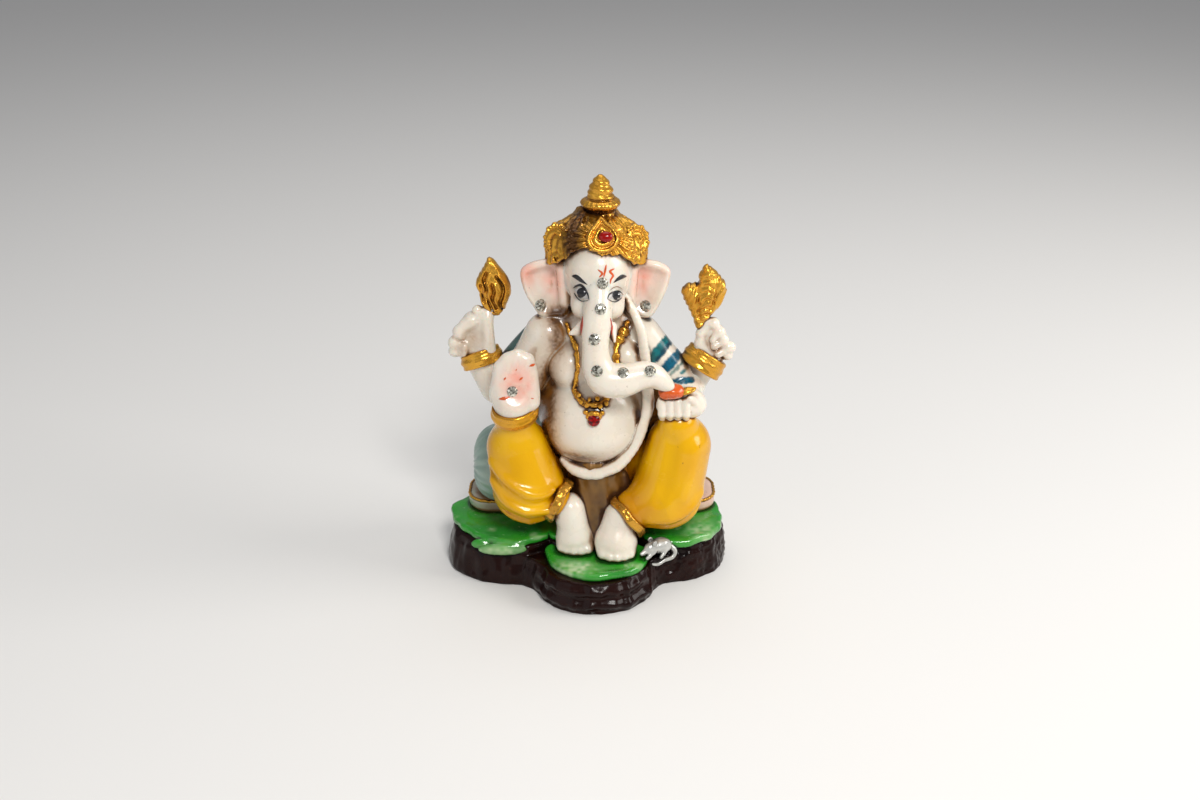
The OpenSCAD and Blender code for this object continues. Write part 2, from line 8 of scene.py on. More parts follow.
import bpy
import numpy as np
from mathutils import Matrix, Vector


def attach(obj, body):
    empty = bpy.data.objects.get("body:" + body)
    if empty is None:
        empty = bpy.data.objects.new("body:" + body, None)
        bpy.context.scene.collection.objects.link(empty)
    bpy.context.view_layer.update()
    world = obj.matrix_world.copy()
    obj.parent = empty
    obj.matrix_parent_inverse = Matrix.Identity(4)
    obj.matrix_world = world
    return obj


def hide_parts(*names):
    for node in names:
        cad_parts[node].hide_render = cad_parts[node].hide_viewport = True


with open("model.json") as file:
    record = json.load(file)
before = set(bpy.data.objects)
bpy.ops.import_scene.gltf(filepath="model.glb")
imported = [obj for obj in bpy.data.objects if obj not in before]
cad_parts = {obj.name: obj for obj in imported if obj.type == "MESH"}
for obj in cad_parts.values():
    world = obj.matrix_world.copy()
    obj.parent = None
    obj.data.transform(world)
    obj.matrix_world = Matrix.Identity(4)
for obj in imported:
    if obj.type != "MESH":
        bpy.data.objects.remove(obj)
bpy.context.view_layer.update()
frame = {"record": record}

MM = 0.001
F = np.float32


# ---------- forms: signed distances in millimetres ----------
def vec(*v):
    return np.array(v, F)


def size(v):
    return np.sqrt(np.einsum("ij,ij->i", v, v))


def ball(p, c, r):
    return size(p - vec(*c)) - F(r)


def turned(ax=0, ay=0, az=0):
    """Rotation matrix whose columns are the turned local axes, angles in degrees about X, then Y, then Z."""
    ax, ay, az = (math.radians(a) for a in (ax, ay, az))
    rx = np.array([[1, 0, 0], [0, math.cos(ax), -math.sin(ax)], [0, math.sin(ax), math.cos(ax)]])
    ry = np.array([[math.cos(ay), 0, math.sin(ay)], [0, 1, 0], [-math.sin(ay), 0, math.cos(ay)]])
    rz = np.array([[math.cos(az), -math.sin(az), 0], [math.sin(az), math.cos(az), 0], [0, 0, 1]])
    return (rz @ ry @ rx).astype(F)


def egg(p, c, r, turn=None):
    q = p - vec(*c)
    if turn is not None:
        q = q @ turn
    r = vec(*r)
    k0 = np.maximum(size(q / r), 1e-3)
    k1 = np.maximum(size(q / (r * r)), 1e-4)
    return k0 * (k0 - 1) / k1


def limb(p, a, b, ra, rb=None):
    """A round-ended limb that tapers from radius ra to rb."""
    rb = ra if rb is None else rb
    a, b = vec(*a), vec(*b)
    ab = b - a
    t = np.clip((p - a) @ ab / (ab @ ab), 0, 1)
    return size(p - a - t[:, None] * ab) - (F(ra) + t * F(rb - ra))


def join(a, b, k):
    """The union of two forms with a fillet about k wide."""
    h = np.clip(0.5 + 0.5 * (b - a) / F(k), 0, 1)
    return b * (1 - h) + a * h - F(k) * h * (1 - h)


def less(a, b, k):
    """Form a with form b taken away."""
    return -join(-a, b, k)


def within(a, b, k):
    return -join(-a, -b, k)


def between(a, b, c, d, t):
    """Where a Catmull-Rom curve through a, b, c and d is on its way from b to c, as t goes from 0 to 1."""
    square, cube = 2 * a - 5 * b + 4 * c - d, 3 * b - a - 3 * c + d
    return 0.5 * (2 * b + (c - a) * t + square * t * t + cube * t ** 3)


def curve(points, steps=4):
    """A smooth run of points through a list of (x, y, z, r) or (x, y, z)."""
    q = np.array(points, float)
    q = np.vstack([2 * q[0] - q[1], q, 2 * q[-1] - q[-2]])
    runs = [between(*q[i - 1:i + 3], t) for i in range(1, len(q) - 2) for t in np.arange(steps) / steps]
    return np.vstack(runs + [q[-2]])


def union(parts, k=0):
    """One form made of several, with fillets about k wide."""
    return reduce(lambda a, b: join(a, b, k) if k else np.minimum(a, b), parts)


def tube(p, points, steps=4, k=0):
    """A round tube whose radius is each point's fourth number."""
    q = curve(points, steps)
    return union((limb(p, a[:3], b[:3], a[3], b[3]) for a, b in zip(q[:-1], q[1:])), k)


def near(p, points):
    """Distance to a line through points."""
    return union(limb(p, a[:3], b[:3], 0) for a, b in zip(points[:-1], points[1:]))


def groove(p, points, wide, deep, steps=3):
    """What a rounded groove adds to a distance; a negative depth is a ridge."""
    q = curve(points, steps) if steps > 1 else points
    return F(deep) * np.exp(-(near(p, q) / F(wide)) ** 2)


def creased(p, d, rows):
    """A form with grooves in it. rows: (points, width, depth)."""
    for line, wide, deep in rows:
        d = d + groove(p, line, wide, deep)
    return d


def ring(p, c, axis, radius):
    """Distance along and across a hoop: (height along its axis, radial distance from its circle, angle)."""
    n = vec(*axis)
    n = n / np.linalg.norm(n)
    q = p - vec(*c)
    h = q @ n
    flat = q - h[:, None] * n
    rad = size(flat)
    u = np.cross(n, vec(0, 0, 1) if abs(n[2]) < 0.9 else vec(0, 1, 0))
    u = u / np.linalg.norm(u)
    return h, rad - F(radius), np.arctan2(flat @ np.cross(n, u), flat @ u)


def rounded(x, y, r):
    """Distance to the rounded corner where a form's side, at distance x, meets its end, at distance y."""
    return np.hypot(np.maximum(x, 0), np.maximum(y, 0)) + np.minimum(np.maximum(x, y), 0) - F(r)


def outline(u, v, poly):
    """Signed distance to a closed polygon in a plane."""
    d = np.full(len(u), 1e9, F)
    inside = np.ones(len(u), F)
    n = len(poly)
    for i in range(n):
        (ax, ay), (bx, by) = poly[i], poly[i - 1]
        ex, ey = bx - ax, by - ay
        wx, wy = u - ax, v - ay
        t = np.clip((wx * ex + wy * ey) / (ex * ex + ey * ey), 0, 1)
        d = np.minimum(d, (wx - ex * t) ** 2 + (wy - ey * t) ** 2)
        c1, c2, c3 = v >= ay, v < by, ex * wy > ey * wx
        inside = np.where((c1 & c2 & c3) | (~c1 & ~c2 & ~c3), -inside, inside)
    return inside * np.sqrt(d)


def smooth_outline(points, steps=4):
    """A rounded closed polygon through points."""
    q = np.array(points, float)
    fours = [[q[(i + j) % len(q)] for j in (-1, 0, 1, 2)] for i in range(len(q))]
    return [tuple(between(*four, t)) for four in fours for t in np.arange(steps) / steps]


def slab(flat, w, half, r):
    """A plate from its plan distance and its distance from the middle plane, with rounded edges."""
    return rounded(flat + F(r), np.abs(w) - half + F(r), r)


def trilinear(f, corner):
    """Blends the values at the eight corners of a cell. f: the place in the cell, from 0 to 1 each way."""
    out = 0
    for x in (0, 1):
        wx = f[:, 0] if x else 1 - f[:, 0]
        for y in (0, 1):
            wy = f[:, 1] if y else 1 - f[:, 1]
            for z in (0, 1):
                out = out + wx * wy * (f[:, 2] if z else 1 - f[:, 2]) * corner(x, y, z)
    return out


def noise(p, cell, seed=0):
    """Smooth value noise from -1 to 1."""
    q = p / F(cell)
    i = np.floor(q).astype(np.int64)
    f = (q - i).astype(F)

    def corner(x, y, z):
        n = (i[:, 0] + x) * 374761393 + (i[:, 1] + y) * 668265263 + (i[:, 2] + z) * 1440662683 + seed * 69069
        n = (n ^ (n >> 13)) * 1274126177
        n = n ^ (n >> 16)
        return ((n & 65535) / 32767.5 - 1).astype(F)

    return trilinear(f * f * (3 - 2 * f), corner)


def step(v, low, high):
    t = np.clip((v - low) / (high - low), 0, 1)
    return t * t * (3 - 2 * t)


# Back and 24 degrees down: the way in which marks and stones are pressed onto the front.
LOOK = vec(0, 0.9135, -0.4067)
FALL = 0.445  # how far that line goes down for each millimetre back
FAR = 99  # a distance past every form


# ---------- the figure's forms ----------
def belly(p):
    d = ball(p, (-1.3, 0.8, 35.6), 11.7)
    d = join(d, egg(p, (-1.4, -0.8, 34.6), (11.2, 10.9, 7.4)), 2)
    return less(d, egg(p, (-3, -12.2, 29.6), (1.6, 1.4, 0.9)), 0.8)


def chest(p):
    d = egg(p, (-0.6, 2.6, 51.6), (10.6, 6.4, 9.4))
    d = join(d, egg(p, (-6.6, -1.6, 48.6), (4.7, 5, 5)), 2.4)
    d = join(d, egg(p, (5.6, -1.2, 50.4), (4.4, 5, 4.8)), 2)
    for x in (-9.6, 9.2):
        d = join(d, egg(p, (x, 4.4, 40), (6.6, 5.2, 10.5)), 1)
    d = join(d, limb(p, (-9.4, 2.4, 56.6), (7, 2.4, 56.2), 4, 3.8), 1.6)
    return join(d, limb(p, (-0.4, 2.6, 58), (-0.4, 2, 63), 6.2, 5.4), 2)


EYES = ((-3.9, 67.3, 1), (3.1, 66.8, -1))
BROWS = [[(-5.6, -7, 70.6), (-4.4, -8.2, 70.4), (-2.8, -8.9, 69)],
    [(4.9, -7, 70.6), (3.8, -8, 70.4), (2.7, -8.7, 69.4)]]


def head(p):
    d = egg(p, (-0.5, 2.2, 69.4), (7.7, 7.8, 8.2))
    d = join(d, egg(p, (-0.5, -2, 71), (6.7, 6.8, 6.5)), 1.5)
    d = join(d, limb(p, (-0.4, -2.6, 66.6), (-0.7, -6.6, 61), 5.9, 3.2), 2)
    d = join(d, egg(p, (-4.3, -4.4, 63.8), (1.9, 2.8, 3)), 1.2)
    d = join(d, egg(p, (3.3, -4.4, 63.6), (1.9, 2.8, 3)), 1.2)
    for x, z, s in EYES:
        d = less(d, egg(p, (x, -9.6, z), (2.1, 1.7, 1.5), turned(0, 20 * s, 0)), 1)
        d = join(d, egg(p, (x, -7.5, z), (1.45, 0.9, 1), turned(0, 20 * s, 0)), 0.35)
    return creased(p, d, [(brow, 0.9, -0.28) for brow in BROWS])


TRUNK = [(-0.2, -7, 69.4, 1.9), (-0.2, -8.3, 66.4, 2.5), (-0.5, -9.8, 62.8, 3), (-0.9, -11.2, 59.6, 2.85),
    (-0.9, -12.2, 56.2, 2.75), (-0.5, -12.8, 53, 3.15), (1, -13, 50.3, 3.6), (4.3, -12.9, 49.8, 3.6),
    (7.8, -12.5, 50.6, 3.05), (10.8, -12.2, 50.7, 2.6), (13.2, -12, 49.1, 1.9), (14.7, -11.9, 47.9, 1.05)]


def trunk(p):
    d = tube(p, TRUNK, 3, 0.3)
    for x, z in ((-3.6, 50.5), (-2.2, 48.2), (0.3, 46.6)):
        d = d + groove(p, [(x, -14.5, z), (x + 1.2, -15.9, z + 1)], 0.35, 0.1, 1)
    return d


EAR = {-1: smooth_outline([(-5.8, 71.8), (-8.6, 72.5), (-11.6, 72.1), (-14.4, 71.5), (-16.6, 70.1),
            (-16.8, 67.8), (-15.9, 64.6), (-14.3, 61.6), (-12.6, 59.3), (-9.8, 59.4), (-6.8, 60.6)]),
    1: smooth_outline([(4.8, 71.4), (7.4, 72.1), (10.2, 72), (13, 71.4), (14.9, 69.8), (14.7, 67.2),
            (13.7, 64.2), (12.4, 61.2), (10.8, 59.2), (8.4, 59.2), (5.6, 60.6)])}


def ear(side):
    def field(p):
        x = np.abs(p[:, 0] + 0.6) - 7.6
        flat = outline(p[:, 0], p[:, 2], EAR[side])
        mid = 0.9 - 0.07 * x - 0.55 * np.exp(-((flat + 0.7) / 1.5) ** 2)
        mid = mid + 0.35 * np.exp(-((flat + 3.4) / 1.6) ** 2)
        mid = mid + 0.12 * np.sin(p[:, 2] * 0.9 + x * 0.5)
        half = 1.05 + 0.18 * np.exp(-((flat + 1.1) / 1) ** 2)
        d = slab(flat, p[:, 1] - mid, half, 0.9)
        d = join(d, limb(p, (side * 7.4 - 0.6, -1, 70.4), (side * 7 - 0.6, -0.8, 63), 1.2, 1), 1.6)
        fold = [(side * 9.9 - 0.6, 0, 70.8), (side * 9.4 - 0.6, 0, 66.8), (side * 10.4 - 0.6, 0, 63.4)]
        return d + groove(p, fold, 0.9, 0.2)
    return field


def tusk(side):
    x0, x1, y1, z1, r = (-3.2, -6.1, -8.6, 58.7, 1.9) if side < 0 else (2.2, 2.9, -9.6, 57.4, 1.5)

    def field(p):
        return limb(p, (x0, -7.6, 59.6), (x1, y1, z1), r, 0.45)
    return field


def front_right_arm(p):
    d = limb(p, (-11.4, 0.9, 54.8), (-15.9, 0.8, 46), 4.9, 4.6)
    return join(d, limb(p, (-16.8, 0.4, 44.8), (-18.4, -5.2, 41), 4.3, 4.1), 1.2)


def front_left_arm(p):
    d = limb(p, (16.6, 0.8, 45.4), (18.9, 0.2, 43), 4.1, 3.9)
    return join(d, limb(p, (18.8, 0, 42.8), (18, -6, 41.8), 3.9, 3.3), 1)


PALM_LINES = [[(-21.4, -11.4, 48.2), (-19.4, -11.8, 49.3), (-16.2, -11.6, 49)],
    [(-19.4, -11.2, 50), (-18.6, -10.6, 52.8)], [(-17.4, -11.2, 50.2), (-17.4, -10.4, 53.4)],
    [(-15.6, -11.2, 49.8), (-16.2, -10.6, 52.6)]]


def front_right_hand(p):
    d = egg(p, (-18.2, -8.9, 45.2), (5.4, 2.8, 5.6))
    d = join(d, egg(p, (-17.9, -8.5, 49.4), (4.6, 2, 4.4)), 1.4)
    for i, (x, z) in enumerate(((-21, 50.9), (-19.3, 52.9), (-17.2, 53.7), (-15.2, 52.7))):
        d = join(d, limb(p, (-20.6 + 1.75 * i, -9, 47.4), (x, -8.5, z), 1.55, 1.35), 1.5)
    d = join(d, limb(p, (-14.5, -9.6, 43.4), (-14.4, -9.3, 49.4), 1.75, 1.2), 0.6)
    d = join(d, limb(p, (-18.3, -8.9, 44), (-18.2, -8, 39.8), 4.2, 4.3), 1)
    d = less(d, egg(p, (-17.7, -13.2, 47.9), (3.2, 2, 3.6)), 1.8)
    return creased(p, d, [(line, 0.3, 0.11) for line in PALM_LINES])


def lumps(p, palm, knobs, bones, dips, k):
    """A small clenched hand modelled in lumps: palm, knuckles, finger bones, and dips pressed into it."""
    d = union((egg(p, c, r) for c, r in palm), 1.2)
    for a, b, ra, rb in bones:
        d = join(d, limb(p, a, b, ra, rb), k)
    for c, r in knobs:
        d = join(d, ball(p, c, r), 0.45)
    for c, r in dips:
        d = less(d, egg(p, c, r), 1.2)
    return d - 0.14 * noise(p, 1.7, 55)


def front_left_hand(p):
    d = limb(p, (18.2, -6.8, 42.2), (19.8, -7.6, 42.2), 3.2, 3.1)
    d = join(d, egg(p, (16.4, -8.6, 42.2), (4.4, 3, 3.2)), 1)
    for i in range(4):
        x = 13.1 + 1.68 * i
        f = limb(p, (x, -10.9, 44.2), (x + 0.1, -11.7, 41.6), 1, 0.92)
        f = join(f, limb(p, (x + 0.1, -11.7, 41.6), (x + 0.2, -10.4, 40.2), 0.92, 0.8), 0.25)
        d = join(d, f, 0.18)
    return join(d, limb(p, (20.2, -9.6, 43.4), (19, -11.3, 45), 1.2, 0.9), 0.4)


def rear_right_arm(p):
    d = limb(p, (-11.8, 4.8, 53.2), (-21.8, 3.8, 41.8), 4.2, 4.2)
    return join(d, limb(p, (-22.5, 3.6, 41.7), (-25.7, 1.5, 49), 4.2, 3.8), 1)


def rear_left_arm(p):
    d = limb(p, (9.6, 5, 51), (19, 3.6, 41.8), 4, 3.7)
    return join(d, limb(p, (19.2, 3.4, 41.8), (22.2, 1.3, 48.2), 3.7, 3.7), 1)


def rear_right_hand(p):
    return lumps(p,
        [((-27.2, 0.8, 52.4), (4.2, 2.4, 4.4)), ((-26.6, 0.6, 57), (3.2, 1.8, 3.4)),
            ((-26, 1.4, 50), (3.5, 2.9, 2.9))],
        [((-30, -0.9, 56), 1.75), ((-31.2, -0.6, 53.5), 1.6), ((-31.4, -0.4, 51.5), 1.35),
            ((-26.2, -0.4, 60.8), 1.1), ((-27.5, -0.7, 58.6), 1.3)],
        [((-24.5, -0.1, 60.1), (-28.9, -0.5, 57.2), 1.4, 1.6),
            ((-24.2, -0.2, 51), (-24.2, -0.7, 58.8), 1.8, 1.3),
            ((-24.3, -0.4, 58.8), (-23.2, 0.4, 61), 1.3, 1.3),
            ((-30.8, -0.9, 53.2), (-29.2, -1.5, 52.8), 1.1, 0.9),
            ((-30.9, -0.7, 51.4), (-29.4, -1.3, 51.4), 1.05, 0.9)],
        [((-27.2, -3, 55), (1.9, 2, 1.5)), ((-27, -3, 52.2), (1.2, 1.7, 1.8))], 0.8)


def rear_left_hand(p):
    return lumps(p,
        [((24.5, 0.8, 52.2), (3.6, 2.2, 4.4)), ((24, 0.6, 55.6), (2.4, 1.7, 2.8)),
            ((22.9, 1.4, 49.6), (3.4, 3, 2.8))],
        [((24.4, -0.5, 57.8), 1.3), ((25.7, -0.8, 56), 1.35), ((26.5, -0.9, 54.2), 1.35),
            ((27.9, -0.6, 52.4), 1.45), ((27.5, -0.5, 50.6), 1.3)],
        [((21.6, -0.2, 50.2), (21.8, -0.3, 55.4), 1.5, 1.2),
            ((21.8, -0.3, 55.4), (23.2, -0.3, 58), 1.2, 1.1),
            ((21.6, -0.6, 53.4), (24.6, -1.3, 49.6), 1.2, 1.1),
            ((25.6, -0.9, 55.8), (24, -1.8, 54.6), 1, 0.85),
            ((26.3, -1, 54), (24.6, -1.9, 53), 1, 0.85),
            ((27.6, -0.7, 52.2), (25.4, -1.8, 51.2), 1.1, 0.9)],
        [((23, -2.6, 55.6), (0.7, 1.1, 1.4))], 0.65)


THREAD = [(5, -1.4, 65.2, 0.5), (6.4, -2.5, 62.8, 0.85), (7.7, -3.6, 60.2, 1), (8.9, -4.4, 57, 1.05),
    (9.5, -4.9, 53.2, 1.1), (9.8, -5.1, 49.4, 1.1), (10.2, -5.3, 45.4, 1.15), (10.4, -6, 40.6, 1.2),
    (9, -7.3, 36, 1.2), (7.2, -8.3, 32.2, 1.25), (4.6, -9, 28.8, 1.35), (1.3, -9.3, 26.9, 1.35),
    (-2.2, -9.1, 26, 1.3), (-5.4, -8.2, 26.6, 1.2), (-8, -6.4, 28.2, 0.9)]


def sacred_thread(p):
    return tube(p, THREAD, 3, 0.2) - 0.16 * noise(p, 2.1, 57)


def foot(ankle, sole, toes):
    def field(p):
        d = egg(p, *sole)
        d = join(d, limb(p, ankle[0], ankle[1], ankle[2], ankle[3]), 1.8)
        for c, r in toes:
            d = join(d, egg(p, c, (r, r * 1.6, r)), 0.8)
        for (a, _), (b, _) in zip(toes[:-1], toes[1:]):
            m = [(i + j) / 2 for i, j in zip(a, b)]
            back = (m[0] * 0.93 + ankle[0][0] * 0.07, m[1] + 1, m[2] + 2.2)
            d = d + groove(p, [(m[0], m[1] - 1, m[2] - 0.2), back], 0.28, 0.15, 1)
        return within(d, 8.25 - p[:, 2], 0.3)
    return field


right_foot = foot(((-5.4, -10.2, 12.2), (-6.8, -9.6, 17.8), 3.6, 3.6),
    ((-5.6, -10.7, 10.7), (4.1, 3.4, 3.3)),
    [((-8.4, -11.6, 9.4), 1.15), ((-7.2, -12.3, 9.3), 1.15), ((-5.7, -12.7, 9.3), 1.2),
        ((-4.1, -12.7, 9.4), 1.25), ((-2.7, -12.2, 9.6), 1.35)])
left_foot = foot(((3.4, -12, 12.2), (4.5, -10.6, 16.4), 4.1, 3.7), ((3.5, -12.9, 10.9), (4.6, 3.9, 3.6)),
    [((0.7, -14.7, 9.8), 1.45), ((2.2, -15.5, 9.5), 1.3), ((3.8, -15.7, 9.4), 1.25),
        ((5.3, -15.3, 9.4), 1.2), ((6.6, -14.5, 9.5), 1.15)])


# ---------- cloth ----------
# The folds of each leg: points, width and depth, where a negative depth is a ridge.
RIGHT_FOLDS = [([(-24, -8.6, 27.2), (-21.8, -13, 24.6), (-18.4, -15.2, 22.4), (-14.6, -15.6, 21.2),
        (-10.6, -13.8, 21.4), (-8.2, -12, 23.2)], 0.9, 1.35),
    ([(-23.6, -9.4, 29), (-20.8, -13.6, 26.6), (-17, -15.4, 24.8), (-12.6, -15, 23.6),
        (-9.4, -13.4, 24.8)], 1.3, -0.85),
    ([(-23.4, -9.4, 24.4), (-20.2, -13.6, 21.6), (-16, -15.2, 19.8), (-11.4, -14, 19.6)], 1.2, -0.8),
    ([(-21.8, -9.4, 20.2), (-18.4, -13, 17.6), (-14.2, -13.6, 16.6), (-10.6, -12.2, 17.4)], 0.9, 0.85),
    ([(-13.6, -10.6, 34.6), (-11.6, -12.2, 29), (-9.2, -12.4, 25.2)], 0.8, 0.25)]
LEFT_FOLDS = [([(21.8, -9.8, 19.6), (19.6, -12.8, 16.9), (15.8, -14, 15.2), (11, -13.6, 14.8)], 0.9, 0.8),
    ([(22.2, -9.8, 21.6), (19.8, -13, 19.2), (16, -14.6, 17.6), (11, -14.4, 17)], 1.2, -0.6),
    ([(20.4, -10.6, 33), (19.6, -12.4, 28), (18, -13.8, 22.6)], 1.6, -0.55),
    ([(15.6, -11.8, 34), (14.6, -13.4, 28), (13, -14.6, 21.6)], 1.5, 0.45),
    ([(11.2, -9.8, 34.6), (8.4, -11.6, 28), (5.6, -12.4, 22.6)], 1, 0.3)]


def dhoti_right_leg(p):
    d = limb(p, (-18, -5.6, 30.9), (-15.7, -7, 21.9), 6.8, 8.1)
    d = join(d, limb(p, (-13.4, -8.4, 20.6), (-10.6, -9.4, 20.2), 6.3, 4.2), 1.6)
    d = join(d, limb(p, (-17, -2, 28), (-10, 3, 22), 6, 6.6), 2)
    d = join(d, limb(p, (-18.2, -7, 35.2), (-18.1, -7.8, 39), 4.3, 4.2), 1.8)
    d = creased(p, d, RIGHT_FOLDS)
    return within(d, 12.2 - p[:, 2], 1.2)


def dhoti_left_leg(p):
    d = limb(p, (17.2, -5.4, 31.2), (14.7, -6.8, 20.2), 7.1, 7.9)
    d = join(d, limb(p, (12.6, -8.4, 19.6), (7.6, -9.8, 17.8), 6.6, 4.6), 1.6)
    d = join(d, limb(p, (16, -2, 28), (9, 3, 22), 6, 6.6), 2)
    d = join(d, limb(p, (16.9, -6.4, 34.6), (16.8, -7.4, 37), 4.8, 4.2), 1.6)
    d = creased(p, d, LEFT_FOLDS)
    return within(d, 10.9 - p[:, 2], 1.4)


def dhoti_seat(p):
    d = egg(p, (-1.2, 3.6, 20), (17, 8, 9.2))
    return within(d, 10.8 - p[:, 2], 0.8)


def dhoti_pleat(p):
    d = limb(p, (-1, -5, 26), (-0.6, -8.2, 12), 4.8, 3.6)
    d = join(d, egg(p, (0.4, -6, 20), (6.6, 3.2, 8.4)), 2)
    x = p[:, 0] + 0.16 * (p[:, 2] - 18) + 0.5 * noise(p * vec(0, 0, 1), 4, 58)
    d = d + (0.16 * np.sin(x * 2.3) + 0.08 * noise(p, 1.2, 59)) * step(-p[:, 1], 2, 8)
    return within(d, 8.3 - p[:, 2], 0.4)


def hem(c, axis, radius, wide, frill, lobes, seed):
    def field(p):
        h, r, a = ring(p, c, axis, radius)
        r = r - frill * np.sin(a * lobes + 0.8 * np.sin(a * 3)) * step(h, -0.6, 0.8)
        r = r - 0.07 * noise(p, 0.55, seed)
        d = rounded(np.abs(r) - F(0.35), np.abs(h + 0.15 * np.sin(a * 5)) - F(wide), 0.45)
        return within(d, 8.3 - p[:, 2], 0.2)
    return field


right_hem = hem((-9, -9.7, 19.9), (0.86, -0.22, -0.44), 4.3, 0.6, 0.14, 13, 3)
left_hem = hem((6, -10.2, 16.2), (-0.76, -0.3, -0.58), 4.7, 0.5, 0.1, 11, 4)


def shawl_right(p):
    d = limb(p, (-11.6, 4.9, 53.2), (-20, 4, 43.7), 4.6, 4.55)
    d = d + 0.12 * np.sin((p[:, 0] * 0.8 - p[:, 2]) * 1.9)
    hem_at = (p - vec(-18.2, 4.1, 45.6)) @ vec(-0.659, -0.075, -0.748) + 0.25 * np.sin(p[:, 1] * 1.1)
    return within(d, hem_at, 0.3)


def shawl_left(p):
    d = limb(p, (9, 1.2, 54.4), (14, 1, 47.2), 4.3, 4.3)
    d = join(d, limb(p, (9.2, 4.4, 52.6), (14.4, 3.8, 46.4), 4.3, 4.2), 1.5)
    d = join(d, limb(p, (14.2, 1, 47), (17, 0.8, 44.6), 4.3, 4), 1.5)
    return d + 0.05 * np.sin((p[:, 0] * 0.9 + p[:, 2] * 0.6) * 2.2)


def shawl_back(p):
    d = limb(p, (-9.8, 6, 53.4), (7.2, 6, 53.2), 4.6, 4.4)
    d = join(d, limb(p, (-8, 6.6, 50), (7, 6.6, 50), 4.4, 4.4), 2)
    return d + 0.3 * np.sin(p[:, 0] * 0.9 + np.cos(p[:, 2] * 0.4) * 1.4) * step(p[:, 1], 5, 9)


# ---------- gold ----------
TILT = turned(-17, 0, 0)
CROWN_AT = vec(-0.8, 1.8, 71.6)
CROWN_PROFILE = [(0, -4), (9.9, -4), (10.3, -2.4), (10.6, 0), (10.7, 2.2), (10.4, 4), (9.6, 5.8),
    (8.2, 7.5), (6.4, 8.8), (4.9, 9.8), (4, 11), (0, 12)]
CROWN_EDGE = [(-12, 71.5), (-10.6, 71.5), (-9.3, 72.6), (-7.6, 73.6), (-6.1, 75.2), (-4.3, 76.6),
    (-2.4, 76.6), (-0.2, 75.5), (1.6, 75.2), (3.6, 75.2), (5.4, 74.2), (6.6, 72.8), (8.4, 71.7), (10, 71.4)]
# Curled scrolls on the crown: centre, which way they turn, size.
SCROLLS = [((6.2, -6.2, 77.4), -1, 1.9), ((4.8, -6.6, 81.8), -1, 1.2), ((-5.8, -6.8, 75.6), 1, 1.4),
    ((7.8, -4.8, 73.9), 1, 1.5), ((-9, -3.6, 73.8), 1, 1.6), ((3.2, -8.6, 75.9), 1, 1.1),
    ((-2.6, -8.6, 77), 1, 0.9)]


def dome(p):
    """The crown without its relief, and the distance up its tilted axis and round it."""
    q = (p - CROWN_AT) @ TILT
    d = outline(np.hypot(q[:, 0], q[:, 1] * 1.06), q[:, 2], CROWN_PROFILE)
    return d, q[:, 2], np.arctan2(q[:, 0], -q[:, 1])


def crown(p):
    d, z, a = dome(p)
    u, w = p[:, 0] - 0.5, p[:, 2] + FALL * (p[:, 1] + 8) - 79.8
    rho, phi = np.hypot(u, w * 0.85), np.arctan2(w, u)
    front = step(-p[:, 1], 2.5, 4.5)
    fan = step(rho, 2.8, 3.6) * (1 - step(rho, 6, 6.8)) * front
    d = d - 0.26 * fan * np.cos(phi * 26 + rho)
    d = d - 0.26 * np.exp(-((rho - 7.2) / 0.5) ** 2) * front * (0.6 + np.cos(phi * 30))
    outer = np.maximum(1 - front, step(rho, 8, 8.7)) * (1 - step(z, 8, 9.6))
    d = d - 0.24 * outer * np.cos(a * 30 + 0.6 * np.sin(z * 0.8))
    d = d - 0.16 * noise(p, 1.3, 11) - 0.12 * noise(p, 0.6, 12)
    for at, way, big in SCROLLS:
        m = size(p - vec(*at))
        turn = np.arctan2(p[:, 2] - at[2], (p[:, 0] - at[0]) * way)
        d = d - 0.4 * np.cos(m * 3.6 - turn) * np.exp(-(m / big) ** 4)
    edge = np.interp(p[:, 0], *zip(*CROWN_EDGE)).astype(F)
    edge = edge + (70.9 - edge) * step(p[:, 1], -3, 3) + 0.22 * np.cos(a * 24)
    d = d - 0.24 * np.exp(-((p[:, 2] - edge - 0.5) / 0.5) ** 2) * (0.7 + 0.5 * np.cos(a * 24))
    return within(d, (edge - p[:, 2]) * 0.85, 0.5)


CREST = smooth_outline([(0.5, 76), (2.9, 76.9), (4, 79.2), (3, 81.7), (1.5, 83.2), (0.2, 85), (-0.9, 83.2),
        (-2.2, 81.2), (-2.9, 79), (-1.8, 76.8)])


def crown_crest(p):
    """A drop-shaped boss that follows the crown's surface."""
    w, _, _ = dome(p)
    flat = outline(p[:, 0], p[:, 2] + FALL * (p[:, 1] + 7.6), CREST)
    half = 0.75 + 0.22 * np.exp(-((flat + 0.45) / 0.34) ** 2)
    half = half - 0.34 * np.exp(-((flat + 1.05) / 0.3) ** 2) + 0.34 * np.exp(-((flat + 1.8) / 0.45) ** 2)
    d = slab(flat, w, half, 0.35) - 0.05 * noise(p, 0.6, 24)
    return within(d, p[:, 1] + 2, 0.3)


def crown_ruby(p):
    return egg(p, (1.2, -6.75, 79.2), (1.45, 0.8, 1.15), turned(-30, 0, 0))


def rosette(c, axis, r, seed):
    def field(p):
        h, rad, a = ring(p, c, axis, 0)
        lobes = r * (1 + 0.05 * np.cos(a * 11))
        half = 1.5 + 0.34 * np.cos(rad * 3 - a) * (1 - step(rad, r - 1.4, r - 0.7))
        half = half + 0.26 * np.exp(-((rad - r + 0.6) / 0.4) ** 2) * (0.5 + np.cos(a * 22))
        return slab(rad - lobes, h, half, 0.7) - 0.1 * noise(p, 0.6, seed)
    return field


